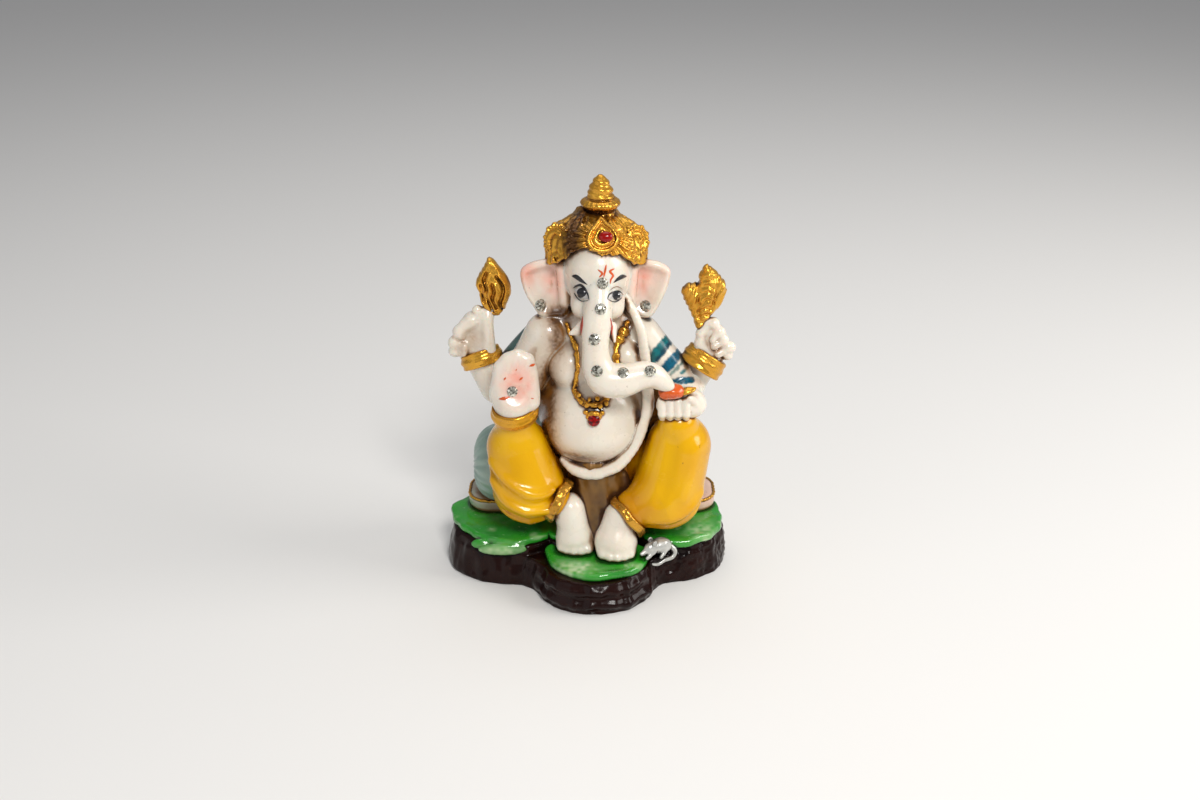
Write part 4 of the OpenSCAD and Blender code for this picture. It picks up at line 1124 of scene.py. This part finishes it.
def skin_tone(p, name):
    rough = noise(p, 0.45, 94) + 0.5 * noise(p, 2, 89)
    col = tinted(p, CREAM, WARM, 0.1 + 0.2 * (0.5 + 0.5 * noise(p, 4.5, 91)))
    if name in EAR_BLUSH:
        k = spots(p, EAR_BLUSH[name]) * (0.85 + 0.3 * noise(p, 1.2, 92))
        col = blend(col, BLUSH, np.clip(k, 0, 1) * 0.8)
    if name == "front_right_hand":
        k = spot(p, (-17.4, -11.6, 48.4), (3.2, 2.4, 4))
        col = blend(col, BLUSH, np.clip(k * (1 + 0.4 * noise(p, 1, 93)), 0, 1) * 0.85)
    if name in ("head", "trunk"):
        col = blend(col, rgb(120, 100, 84), np.clip(spots(p, EYE_SHADE), 0, 0.6))
    if name == "front_left_arm":
        col = strokes_on(p, col)
    if name == "rear_left_arm":
        # Painted shadow on the front of the forearm, between the sleeve and the bangle.
        k = step(p[:, 2], 40, 43) * (1 - step(p[:, 0], 19.5, 22.5)) * (0.9 + 0.2 * rough)
        col = blend(col, rgb(74, 44, 22), np.clip(k * (1 - step(p[:, 1], 3.5, 5.5)), 0, 0.85))
    if name in ("rear_left_arm", "rear_right_arm"):
        under_shawl = 1 - step(np.abs(p[:, 0] + 1.7) - 0.5 * p[:, 2], -6.6, -5.8)
        col = blend(col, teal_tone(p), step(p[:, 1], 3.8, 4.8) * under_shawl)
    if name in ("rear_left_hand", "rear_right_hand"):
        # Painted shade in the dips between the knuckles.
        col = blend(col, GOLD_WASH_AND_SHADE, np.clip(spots(p, HAND_DIP_SHADE) * (1 + 0.3 * rough), 0, 0.7))
    if name in WASHED_AND_SHADED:
        # Painted shade in the hollows of the front, with the finish's brown wash.
        wash_and_shade = spots(p, BODY_WASH_AND_SHADE)
        if name in ("belly", "chest"):
            # Painted shade on the sides of the belly and the chest.
            flank_shade = step(np.abs(p[:, 0] + 0.4), 9.6, 11.6) * step(p[:, 1], -4, 0)
            flank_shade = flank_shade * (1 - step(p[:, 2], 46, 50))
            wash_and_shade = wash_and_shade + 1.2 * flank_shade * (1 - step(p[:, 1], 3, 7))
        wash_and_shade = np.clip(wash_and_shade * (1 + 0.22 * rough), 0, 0.95)
        col = blend(blend(col, GOLD_WASH_AND_SHADE, wash_and_shade), BROWN_WASH_AND_SHADE, np.clip(wash_and_shade * 1.7 - 0.75, 0, 0.85))
    return col


def strokes_on(p, col):
    """Brushed stripes on the left sleeve."""
    q = np.stack([p[:, 0], p[:, 2] + FALL * (p[:, 1] + 2), 0 * p[:, 0]], 1)
    for line, colour in STROKES:
        d = tube(q, [(x, z, 0, r) for x, z, r in line])
        k = (1 - step(d + 0.22 * noise(p, 0.6, 99), -0.16, 0.24)) * (1 - step(p[:, 1], 3, 4.5))
        col = blend(col, colour * (0.9 + 0.35 * noise(p, 0.5, 98))[:, None], k)
    return col


# The stripes: each one's middle line as (x, z, half width), and its colour.
STROKES = [
    ([(16.4, 57.2, 0.9), (14.4, 54.4, 1.15), (13, 52.4, 1.25), (11.6, 50.4, 1.15), (10.6, 48.9, 0.6)],
        rgb(14, 106, 112)),
    ([(15.6, 54.6, 0.3), (13.8, 52, 0.5), (12.2, 49.8, 0.4)], rgb(0, 66, 84)),
    ([(18.4, 53.2, 0.8), (16.7, 51, 1.05), (15.2, 49.2, 1.15), (13.8, 47.5, 0.95), (12.8, 46.3, 0.4)],
        rgb(0, 92, 120)),
    ([(18, 49.6, 0.25), (16.4, 47.8, 0.4), (15.2, 46.6, 0.3)], rgb(126, 146, 138)),
    ([(18.8, 48, 0.2), (17.6, 46.8, 0.35)], rgb(70, 140, 144)),
    ([(16, 45, 0.5), (18, 45.1, 0.85), (19.9, 45.2, 0.6)], rgb(0, 96, 122))]
# Painted shade on the crown and pale patches on the leaf pads: strength, middle, radii.
CROWN_SHADE = [(1.15, (-5.9, -5, 77.6), (2.4, 9, 4.4)), (0.8, (-3.6, 0, 81.6), (2.6, 5, 2)),
    (0.4, (4.4, -2, 83), (3, 5, 1.6))]
LEAF_PALE_PATCHES = [(0.8, (-6, -19.4, 8), (4.4, 2.4, 1.4)), (0.7, (-21.6, -12, 8.2), (4.6, 2, 1.6)),
    (0.5, (23, -7, 10.6), (3.4, 4, 1.4))]


def gold_tone(p, name):
    t = 0.5 + 0.5 * noise(p, 2.2, 95)
    col = tinted(p, rgb(236, 178, 62), rgb(192, 128, 30), 0.15 + 0.5 * t)
    if name == "front_right_bangle":
        col = blend(col, rgb(214, 150, 6), step(p[:, 0], -20, -16.5) * 0.85)
    if name in ("right_hem", "left_hem", "cushion_piping"):
        col = blend(col, rgb(120, 78, 26), 0.15 + 0.3 * t)
    if name in ("crown", "crown_crest", "crown_right_rosette", "crown_finial"):
        # Painted shade on the crown.
        shade_on_crown = spots(p, CROWN_SHADE) * (1 + 0.3 * noise(p, 0.5, 109))
        col = blend(col, rgb(62, 28, 9), np.clip(shade_on_crown, 0, 0.93))
    return col


def leaf_tone(p, name):
    col = tinted(p, rgb(44, 158, 36), rgb(16, 108, 26), (0.5 + 0.5 * noise(p, 3, 96)) * 0.8)
    # Pale streaks on the pads: random ones, and listed ones on their front edges.
    pale_patches = step(noise(p * vec(0.5, 0.5, 1.6), 1.5, 97), 0.25, 0.65) * 0.35
    pale_patches = pale_patches + spots(p, LEAF_PALE_PATCHES)
    return blend(col, rgb(186, 206, 160), np.clip(pale_patches * (0.9 + 0.8 * noise(p, 0.9, 110)), 0, 0.85))


def teal_tone(p):
    return tinted(p, rgb(150, 176, 168), rgb(14, 62, 60), 0.85 + 0.15 * noise(p, 2, 101))


def shawl_tone(p, name):
    if name == "shawl_left":
        col = strokes_on(p, tinted(p, CREAM, WARM, 0.1 + 0.2 * (0.5 + 0.5 * noise(p, 4.5, 91))))
        return blend(col, teal_tone(p), step(p[:, 1] + 0.3 * noise(p, 1.2, 100), 4.2, 4.9))
    # Painted shade under the right ear.
    return blend(teal_tone(p), rgb(60, 34, 14), 0.8 * spot(p, (-10.5, 1, 58), (4, 9, 3)))


def plain(a, b, cell, seed):
    """A tone that drifts between two colours in patches about as wide as a cell."""
    def tone(p, name):
        return tinted(p, a, b, 0.6 * (0.5 + 0.5 * noise(p, cell, seed)))
    return tone


def cushion_tone(p, name):
    col = tinted(p, rgb(160, 172, 152), rgb(222, 190, 172), step(p[:, 0], -12, 6))
    return blend(col, rgb(196, 150, 130), 0.3 + 0.35 * noise(p, 2, 105))


def pleat_tone(p, name):
    col = plain(rgb(154, 110, 40), rgb(88, 52, 18), 2.6, 107)(p, name)
    # Painted shade between the legs and under the belly.
    deep = spots(p, [(0.9, (0.2, -8, 15.5), (2.4, 6, 6.5)), (0.5, (-0.6, -8, 25), (6, 6, 2.6))])
    return blend(col, rgb(30, 14, 8), np.clip(deep * (1 + 0.3 * noise(p, 0.9, 113)), 0, 0.88))


def yellow_tone(p, name):
    col = tinted(p, rgb(230, 177, 0), rgb(212, 150, 0), 0.5 + 0.5 * noise(p, 5, 102))
    # Painted shade: darker towards the bottom, between the legs below the belly, and on the outer sides.
    side = np.abs(p[:, 0] + 0.5)
    low = (1 - step(p[:, 2], 11, 22)) * 0.55 + 0.5 * (1 - step(side, 7, 12)) * (1 - step(p[:, 2], 30, 36))
    low = low + 0.35 * step(side, 20, 25)
    return blend(col, rgb(182, 110, 0), np.clip(low * (1 + 0.35 * noise(p, 2.4, 112)), 0, 0.85))


TONES = {"marble_skin": skin_tone, "antique_gold": gold_tone, "leaf_green": leaf_tone,
    "shawl_teal": shawl_tone, "dhoti_yellow": yellow_tone,
    "rock_brown": plain(rgb(34, 12, 8), rgb(14, 5, 3), 2, 103),
    "bolster_mint": plain(rgb(150, 172, 160), rgb(120, 150, 138), 4, 104),
    "cushion_blush": cushion_tone, "pleat_bronze": pleat_tone,
    "sweet_orange": plain(rgb(216, 92, 8), rgb(190, 50, 4), 1, 106),
    "mouse_silver": plain(rgb(206, 206, 200), rgb(160, 160, 156), 1, 108),
    "red_stone": plain(rgb(158, 8, 0), rgb(92, 2, 0), 0.8, 111)}


# ---------- materials ----------
LOOKS = {}


def material(slot, rough, coat, bump, wash_and_shade=(), metal=0, sss=0, speck=None, grain=900, spec=0.5):
    """Adds the look of a slot: painted resin, with darkening in its hollows as rows of (from, to, strength,
    colour): painted shade in creases and where parts meet, with the brown wash of the finish; and with specks
    as (scale, from, strength, colour)."""
    m = bpy.data.materials.new("look_" + slot)
    m.use_nodes = True
    nodes, links = m.node_tree.nodes, m.node_tree.links
    bsdf = nodes["Principled BSDF"]
    fixed = {"Coat Weight": coat, "Coat Roughness": 0.06, "Metallic": metal, "Specular IOR Level": spec}
    if sss:
        scatter = {"Weight": sss, "Radius": (1, 0.55, 0.35), "Scale": 0.0022}
        fixed.update({"Subsurface " + key: value for key, value in scatter.items()})
    for key, value in fixed.items():
        bsdf.inputs[key].default_value = value

    def node(kind, **values):
        n = nodes.new(kind)
        for key, value in values.items():
            if key in n.inputs:
                n.inputs[key].default_value = value
            else:
                setattr(n, key, value)
        return n

    coord = node("ShaderNodeTexCoord").outputs["Object"]

    def texture(scale, detail=3):
        n = node("ShaderNodeTexNoise", Scale=scale, Detail=detail, Roughness=0.55)
        links.new(coord, n.inputs["Vector"])
        return n.outputs["Fac"]

    def ramp(src, low, high):
        n = node("ShaderNodeMapRange", interpolation_type="SMOOTHSTEP")
        n.inputs["From Min"].default_value = low
        n.inputs["From Max"].default_value = high
        links.new(src, n.inputs["Value"])
        return n.outputs["Result"]

    def maths(op, a, b):
        n = node("ShaderNodeMath", operation=op)
        for i, s in enumerate((a, b)):
            if isinstance(s, (int, float)):
                n.inputs[i].default_value = s
            else:
                links.new(s, n.inputs[i])
        return n.outputs[0]

    def mix(fac, a, b):
        n = node("ShaderNodeMix", data_type="RGBA")
        wanted = [i for i in n.inputs if i.type == "RGBA" or (i.name == "Factor" and i.type == "VALUE")]
        by_name = {i.name: i for i in wanted}
        links.new(fac, by_name["Factor"])
        links.new(a, by_name["A"])
        by_name["B"].default_value = (*[float(v) for v in b], 1)
        return [o for o in n.outputs if o.type == "RGBA"][0]

    tone = node("ShaderNodeAttribute", attribute_name="tone").outputs["Color"]
    hollow = node("ShaderNodeAttribute", attribute_name="hollow").outputs["Fac"]
    broad, fine = texture(260), texture(1400)
    uneven = maths("MULTIPLY", maths("SUBTRACT", broad, 0.5), 0.5)
    for low, high, amount, colour in wash_and_shade:
        deep = ramp(maths("ADD", hollow, uneven), low, high)
        tone = mix(maths("MULTIPLY", deep, amount), tone, colour)
    if speck:
        dots = ramp(texture(speck[0], 2), speck[1], speck[1] + 0.05)
        tone = mix(maths("MULTIPLY", dots, speck[2]), tone, speck[3])
    links.new(tone, bsdf.inputs["Base Color"])
    rougher = maths("MULTIPLY", maths("SUBTRACT", broad, 0.5), 0.24)
    links.new(maths("ADD", rougher, rough), bsdf.inputs["Roughness"])
    relief = node("ShaderNodeBump", Strength=bump, Distance=0.0002)
    links.new(maths("ADD", texture(grain, 4), maths("MULTIPLY", fine, 0.5)), relief.inputs["Height"])
    links.new(relief.outputs["Normal"], bsdf.inputs["Normal"])
    LOOKS[slot] = m


# Each look darkens in its hollows: painted shade in creases and where parts meet, and in part the brown wash
# of the finish.
material("marble_skin", rough=0.28, coat=0.6, bump=0.1, sss=0.35,
    wash_and_shade=[(0.16, 0.46, 0.75, GOLD_WASH_AND_SHADE), (0.36, 0.7, 0.95, BROWN_WASH_AND_SHADE)], speck=(1500, 0.7, 0.35, rgb(120, 84, 50)))
material("antique_gold", rough=0.27, coat=0.15, bump=0.22, metal=0.75, grain=1800,
    wash_and_shade=[(0.12, 0.4, 0.75, rgb(138, 78, 14)), (0.34, 0.66, 0.92, rgb(48, 22, 8))])
material("dhoti_yellow", rough=0.24, coat=0.4, bump=0.06, sss=0.05, spec=0.22,
    wash_and_shade=[(0.22, 0.6, 0.8, rgb(160, 80, 0)), (0.46, 0.8, 0.9, rgb(54, 28, 8))],
    speck=(700, 0.72, 0.55, rgb(130, 76, 10)))
material("pleat_bronze", rough=0.4, coat=0.3, bump=0.3, metal=0.3, wash_and_shade=[(0.15, 0.5, 0.92, BROWN_WASH_AND_SHADE)])
material("rock_brown", rough=0.22, coat=0.08, bump=0.25, spec=0.14, wash_and_shade=[(0.1, 0.5, 0.8, rgb(8, 3, 3))],
    speck=(420, 0.68, 0.2, rgb(66, 32, 24)))
material("leaf_green", rough=0.24, coat=0.6, bump=0.15, spec=0.4, wash_and_shade=[(0.3, 0.75, 0.8, rgb(4, 30, 8))],
    speck=(900, 0.7, 0.4, rgb(160, 204, 140)))
material("cushion_blush", rough=0.3, coat=0.5, bump=0.1, wash_and_shade=[(0.3, 0.7, 0.8, GOLD_WASH_AND_SHADE)])
material("bolster_mint", rough=0.32, coat=0.4, bump=0.1, wash_and_shade=[(0.3, 0.7, 0.8, rgb(70, 70, 50))])
material("shawl_teal", rough=0.28, coat=0.35, bump=0.1, sss=0.1, spec=0.3,
    wash_and_shade=[(0.25, 0.65, 0.9, rgb(36, 24, 14))])
material("sweet_orange", rough=0.28, coat=0.6, bump=0.15, wash_and_shade=[(0.3, 0.7, 0.7, rgb(96, 24, 6))])
material("mouse_silver", rough=0.32, coat=0.3, bump=0.2, metal=0.45, wash_and_shade=[(0.2, 0.6, 0.85, rgb(40, 34, 30))])
material("paint", rough=0.34, coat=0.3, bump=0.1)
material("clear_stone", rough=0.1, coat=1, bump=0.02, metal=0.6)
material("red_stone", rough=0.14, coat=0.3, bump=0.02, spec=0.25)

slot_of = {part["node"]: part["material_slot"] for part in frame["record"]["subparts"]}
# How strongly the darkening in the creases, painted shade with the finish's brown wash, shows on these
# pieces.
HOLLOW_DARK_SCALE = {"head": 0.55, "crown": 0.8, "front_right_hand": 0.6, "rear_right_hand": 0.75,
    "rear_left_hand": 0.75, "front_left_hand": 0.8, "right_foot": 0.6, "left_foot": 0.6, "right_hem": 0.6,
    "left_hem": 0.6, "rear_right_bangle": 0.6, "rear_left_bangle": 0.6, "front_right_bangle": 0.55,
    "modak_dish": 0.6, "modak": 0.7, "right_ear": 0.75, "left_ear": 0.75, "sacred_thread": 0.7,
    "dhoti_right_leg": 0.85, "dhoti_left_leg": 0.85, "rear_right_arm": 0.8, "rear_left_arm": 0.8,
    "front_left_arm": 0.8, "shawl_left": 0.8}


def finish_piece(name, point, normal, faces):
    used, faces = np.unique(faces, return_inverse=True)
    faces = faces.reshape(-1, 4)
    p, n = point[used], normal[used]
    slot = slot_of[name]
    obj = add_mesh(name + "_cast", p, faces, slot, name, n)
    put(obj.data, "tone", TONES[slot](p, name))
    put(obj.data, "hollow", hollows(p, n) * F(HOLLOW_DARK_SCALE.get(name, 1)))
    obj.data.materials.append(LOOKS[slot])


def stroke(line, steps=6):
    """Points of one brush stroke as (x, z), and their lifts. line: (x, z, half width) along its middle."""
    c = curve(line, steps)
    along = np.gradient(c[:, :2], axis=0)
    along /= np.linalg.norm(along, axis=1)[:, None]
    s = np.linspace(-1, 1, len(c))
    half = np.maximum(c[:, 2] * np.sqrt(np.maximum(1 - s ** 6, 0)), 0.02)
    cols = np.array([-1, -0.85, -0.5, 0, 0.5, 0.85, 1])
    rise = np.array([-0.03, 0.035, 0.06, 0.065, 0.06, 0.035, -0.03])
    across = np.stack([-along[:, 1], along[:, 0]], 1)
    at = c[:, None, :2] + across[:, None] * (half[:, None] * cols[None])[:, :, None]
    return at, np.tile(rise, (len(c), 1))


def paint(name, strokes, forms, y, colour, lift=0):
    """Strokes of paint as thin films pressed onto the surface, each a closed shell."""
    points, faces, tones = [], [], []
    base = 0
    for i, line in enumerate(strokes):
        at, rise = stroke(line)
        n, m = rise.shape
        p, normal = press(at[..., 0].ravel(), at[..., 1].ravel(), y, forms)
        top = p + normal * (rise.reshape(-1, 1).astype(F) + F(lift))
        under = p - normal * F(0.2)
        g = np.arange(n * m).reshape(n, m) + base
        top_faces = np.stack([g[:-1, :-1], g[:-1, 1:], g[1:, 1:], g[1:, :-1]], -1).reshape(-1, 4)
        rim = np.concatenate([g[0, :], g[1:, -1], g[-1, -2::-1], g[-2:0:-1, 0]])
        nxt = np.roll(rim, -1)
        k = n * m
        faces += [top_faces, top_faces[:, ::-1] + k, np.stack([nxt, rim, rim + k, nxt + k], 1)]
        points += [top, under]
        shell = np.vstack([top, under])
        tones.append(tinted(shell, colour, colour * F(0.6), 0.5 + 0.5 * noise(shell, 0.5, 120 + i)))
        base += 2 * k
    obj = add_mesh(name, np.vstack(points), np.vstack(faces), "marble_skin")
    put(obj.data, "tone", np.vstack(tones))
    put(obj.data, "hollow", np.zeros(base, F))
    obj.data.materials.append(LOOKS["paint"])


def stones(name, where, r, slot, colours, seed):
    """Cut stones sunk in their setting: flat table, slanting facets, girdle. where: (point, normal)."""
    rng = np.random.default_rng(seed)
    low, high = colours
    points, faces, tones = [], [], []
    base = 0
    for c, n in where:
        u = np.cross(n, (0.3, 0.1, 1))
        u /= np.linalg.norm(u)
        v = np.cross(n, u)
        for count, rad, up, turn in ((8, 0.46, 0.46, 0), (8, 0.76, 0.34, 0.5), (16, 1, 0.1, 0),
                (16, 0.94, -0.3, 0)):
            angles = [2 * math.pi * (i + turn) / count for i in range(count)]
            points += [c + n * up * r + (u * math.cos(t) + v * math.sin(t)) * rad * r for t in angles]
        points += [c + n * 0.48 * r, c - n * 0.35 * r]
        table, middle, girdle, foot_ring, top, bottom = (base + i for i in (0, 8, 16, 32, 48, 49))
        own = []
        for i in range(8):
            j = (i + 1) % 8
            a, b, d = girdle + 2 * i, girdle + 2 * i + 1, girdle + (2 * i + 2) % 16
            t0, t1, m = table + i, table + j, middle + i
            own += [(top, t0, t1), (t0, m, t1), (t0, a, m), (m, a, b), (m, b, d), (m, d, t1)]
        for i in range(16):
            j = (i + 1) % 16
            own += [(girdle + i, foot_ring + i, girdle + j), (girdle + j, foot_ring + i, foot_ring + j),
                (foot_ring + i, bottom, foot_ring + j)]
        faces += own
        # Each facet takes a random colour between the two given: painted reflections, the dark facets and the
        # lit ones.
        tones += [low + (high - low) * F(s) for s in rng.random(len(own)) ** 1.3]
        base += 50
    obj = add_mesh(name + "_cut", np.array(points, F), faces, slot, name, smooth=False)
    data = np.ones((len(faces) * 3, 4), F)
    data[:, :3] = np.repeat(np.array(tones, F), 3, axis=0)
    obj.data.attributes.new("tone", "FLOAT_COLOR", "CORNER").data.foreach_set("color", data.ravel())
    obj.data.materials.append(LOOKS[slot])


def cast_all():
    """The cast forms: the blended figure first, then what was modelled on its own."""
    dist, lab, origin, h = grow(SKIN, FINE)
    point, normal, _, faces = nets(dist, lab, origin, h, len(SKIN))
    for n, (name, _, _) in enumerate(SKIN, 1):
        finish_piece(name, point, normal, faces[n])
    for name, field, fine in OTHER:
        dist, lab, origin, h = grow([(name, field, 0.1)], fine)
        point, normal, _, faces = nets(dist, lab, origin, h, 1)
        finish_piece(name, point, normal, faces[1])


def seats(at, y, forms, lift):
    """Where stones sit: surface points and normals behind the (x, z) places."""
    return list(zip(*press([x for x, _ in at], [z for _, z in at], y, forms, lift)))


def set_stones():
    # Each kind of stone: the dark and the lit ends of its painted facet reflections.
    clear, ruby = (rgb(70, 64, 46), rgb(232, 230, 216)), (rgb(60, 0, 0), rgb(170, 10, 8))
    stones("forehead_stone", seats([(0.5, 69.9)], -9, FACE, 0.05), 1.2, "clear_stone", clear, 1)
    high, low = [(0.1, 64.5)], [(-1.1, 59.5), (-0.6, 52.4), (4.8, 52), (10.4, 52.4)]
    on_trunk = seats(high, -10, FACE, 0.05) + seats(low, -14, FACE, 0.05)
    stones("trunk_stones", on_trunk, 1.22, "clear_stone", clear, 2)
    stones("ear_stones", seats([(-12.7, 62.2), (9.7, 62)], -1, FACE, 0.1), 1.3, "clear_stone", clear, 3)
    stones("palm_stone", seats([(-18.5, 47.1)], -12.5, PALM, 0.1), 1.15, "clear_stone", clear, 4)
    hanging = [(p, -LOOK) for p, _ in seats([(-1.3, 39.7)], -10.5, [(pendant, 0.5)], 0.15)]
    stones("pendant_ruby", hanging, 1.35, "red_stone", ruby, 5)


# Brush strokes, each as (x, z, half width) along its middle line.
EYE_WHITES = [
    [(-5.3, 68.1, 0.2), (-4.6, 68, 0.85), (-3.6, 67.4, 1.15), (-2.8, 66.5, 0.7), (-2.4, 65.9, 0.15)],
    [(1.7, 66.1, 0.15), (2.4, 66.6, 0.6), (3.3, 66.8, 0.85), (4.2, 67, 0.6), (4.8, 67.1, 0.15)]]
EYE_LINES = [
    [(-5.6, 68.7, 0.08), (-5, 69.05, 0.22), (-4, 69.2, 0.26), (-3.1, 68.3, 0.22), (-2.5, 67, 0.15),
        (-2.2, 65.7, 0.08)],
    [(-5.4, 67.6, 0.07), (-4.7, 66.4, 0.1), (-3.8, 65.7, 0.1), (-2.4, 65.6, 0.09)],
    [(-4.8, 67.7, 0.45), (-4.2, 67.6, 1.08), (-3.5, 67.4, 1.14), (-2.8, 67.1, 0.5)],
    [(1.5, 65.9, 0.08), (1.9, 67, 0.14), (2.8, 67.6, 0.22), (3.9, 67.8, 0.22), (4.9, 67.3, 0.08)],
    [(1.6, 65.9, 0.07), (2.6, 65.5, 0.09), (3.6, 65.7, 0.1), (4.6, 66.6, 0.07)],
    [(2.5, 66.7, 0.4), (3, 66.8, 0.96), (3.6, 66.9, 0.98), (4.2, 67, 0.42)],
    [(-5.8, 71.3, 0.2), (-5, 71.1, 0.46), (-3.9, 70.2, 0.38), (-2.6, 69.2, 0.08)],
    [(5.5, 71.4, 0.16), (4.7, 71.2, 0.44), (3.8, 70.6, 0.34), (2.8, 69.7, 0.08)]]
EYE_GLINTS = [[(-3.3, 67.8, 0.06), (-3.15, 67.7, 0.16), (-3, 67.6, 0.06)],
    [(3.7, 67.2, 0.06), (3.85, 67.15, 0.15), (4, 67.1, 0.06)]]
LID_CREASE = [[(2, 67.9, 0.04), (2.9, 68.7, 0.09), (3.8, 68.9, 0.09), (4.8, 68.4, 0.04)]]
FOREHEAD_MARKS = [[(-0.5, 73, 0.14), (0.45, 72.1, 0.27), (-0.2, 71.2, 0.12)],
    [(1.3, 74.1, 0.16), (1.05, 72.7, 0.24), (0.75, 71.2, 0.12)],
    [(3, 73.3, 0.16), (2.1, 72.6, 0.28), (2.7, 71.7, 0.24), (2.25, 70.8, 0.2), (2.1, 69.8, 0.12)]]
TUSK_LINES = [[(-3.6, 62.9, 0.08), (-3.8, 60.9, 0.32), (-3.9, 58.6, 0.1)],
    [(2.1, 62.4, 0.06), (2.5, 60.6, 0.2), (2.4, 58.6, 0.08)]]
PALM_MARKS = [[(-14.9, 52.9, 0.1), (-14.2, 53.2, 0.32), (-13.7, 53.5, 0.1)],
    [(-20.3, 49.7, 0.1), (-20, 50.1, 0.22), (-19.8, 50.4, 0.08)],
    [(-17.7, 51.8, 0.06), (-17.6, 52.1, 0.12), (-17.5, 52.3, 0.06)],
    [(-17, 49.7, 0.1), (-16.6, 50.1, 0.24), (-16.2, 50.4, 0.08)],
    [(-14.6, 45.6, 0.06), (-14.3, 45.5, 0.14), (-14, 45.5, 0.06)],
    [(-21.4, 45.4, 0.12), (-20.3, 45.5, 0.42), (-19, 45.9, 0.16)]]


def paint_marks():
    orange = rgb(226, 92, 20)
    paint("eye_whites", EYE_WHITES, FACE, -8, rgb(200, 196, 192))
    paint("eye_lines", EYE_LINES, FACE, -8, rgb(10, 9, 16), lift=0.05)
    paint("eye_glints", EYE_GLINTS, FACE, -8, rgb(250, 250, 250), lift=0.12)
    paint("lid_crease", LID_CREASE, FACE, -8, rgb(150, 100, 60))
    paint("forehead_marks", FOREHEAD_MARKS, FACE, -9, orange)
    beside_tusks = FACE + [(tusk(-1), 0.25), (tusk(1), 0.25)]
    paint("tusk_lines", TUSK_LINES, beside_tusks, -9.5, rgb(206, 52, 24))
    paint("palm_marks", PALM_MARKS, PALM, -12.5, orange)


cast_all()
set_stones()
paint_marks()

# ---------- floor, light and camera ----------
floor = bpy.data.objects.new("floor", bpy.data.meshes.new("floor"))
floor.data.from_pydata([(-2, -2, 0), (2, -2, 0), (2, 2, 0), (-2, 2, 0)], [], [(0, 1, 2, 3)])
bpy.context.collection.objects.link(floor)
paper = bpy.data.materials.new("paper")
paper.use_nodes = True
surface = paper.node_tree.nodes["Principled BSDF"]
surface.inputs["Base Color"].default_value = (0.8, 0.785, 0.76, 1)
surface.inputs["Roughness"].default_value = 0.9
floor.data.materials.append(paper)


def lamp(name, where, aim, power, wide, colour=(1, 1, 1)):
    data = bpy.data.lights.new(name, "AREA")
    data.energy, data.size, data.color = power, wide, colour
    obj = bpy.data.objects.new(name, data)
    obj.location = where
    obj.rotation_euler = (Vector(aim) - Vector(where)).to_track_quat("-Z", "Y").to_euler()
    bpy.context.collection.objects.link(obj)


centre = (0, 0, 0.045)
lamp("key", (0.12, -0.42, 0.46), centre, 2.2, 0.15, (1, 0.985, 0.96))
lamp("side", (0.46, -0.06, 0.28), centre, 1.3, 0.26, (1, 0.98, 0.95))
lamp("fill", (-0.42, -0.3, 0.2), centre, 0.3, 0.4, (0.95, 0.97, 1))
lamp("top", (0.02, 0.16, 0.55), centre, 0.8, 0.4)
world = bpy.data.worlds.new("studio")
world.use_nodes = True
sky = world.node_tree.nodes["Background"]
sky.inputs["Color"].default_value = (0.93, 0.95, 1, 1)
sky.inputs["Strength"].default_value = 0.27
bpy.context.scene.world = world
bpy.context.scene.view_settings.view_transform = "Standard"

camera = bpy.data.objects.new("camera", bpy.data.cameras.new("camera"))
pitch, distance, aim_z = math.radians(24), 0.33, 0.0396
camera.location = (0, -distance * math.cos(pitch), aim_z + distance * math.sin(pitch))
camera.rotation_euler = (math.pi / 2 - pitch, 0, 0)
camera.data.sensor_width = 36
camera.data.lens = 45.045
camera.data.clip_start = 0.01
bpy.context.collection.objects.link(camera)
bpy.context.scene.camera = camera
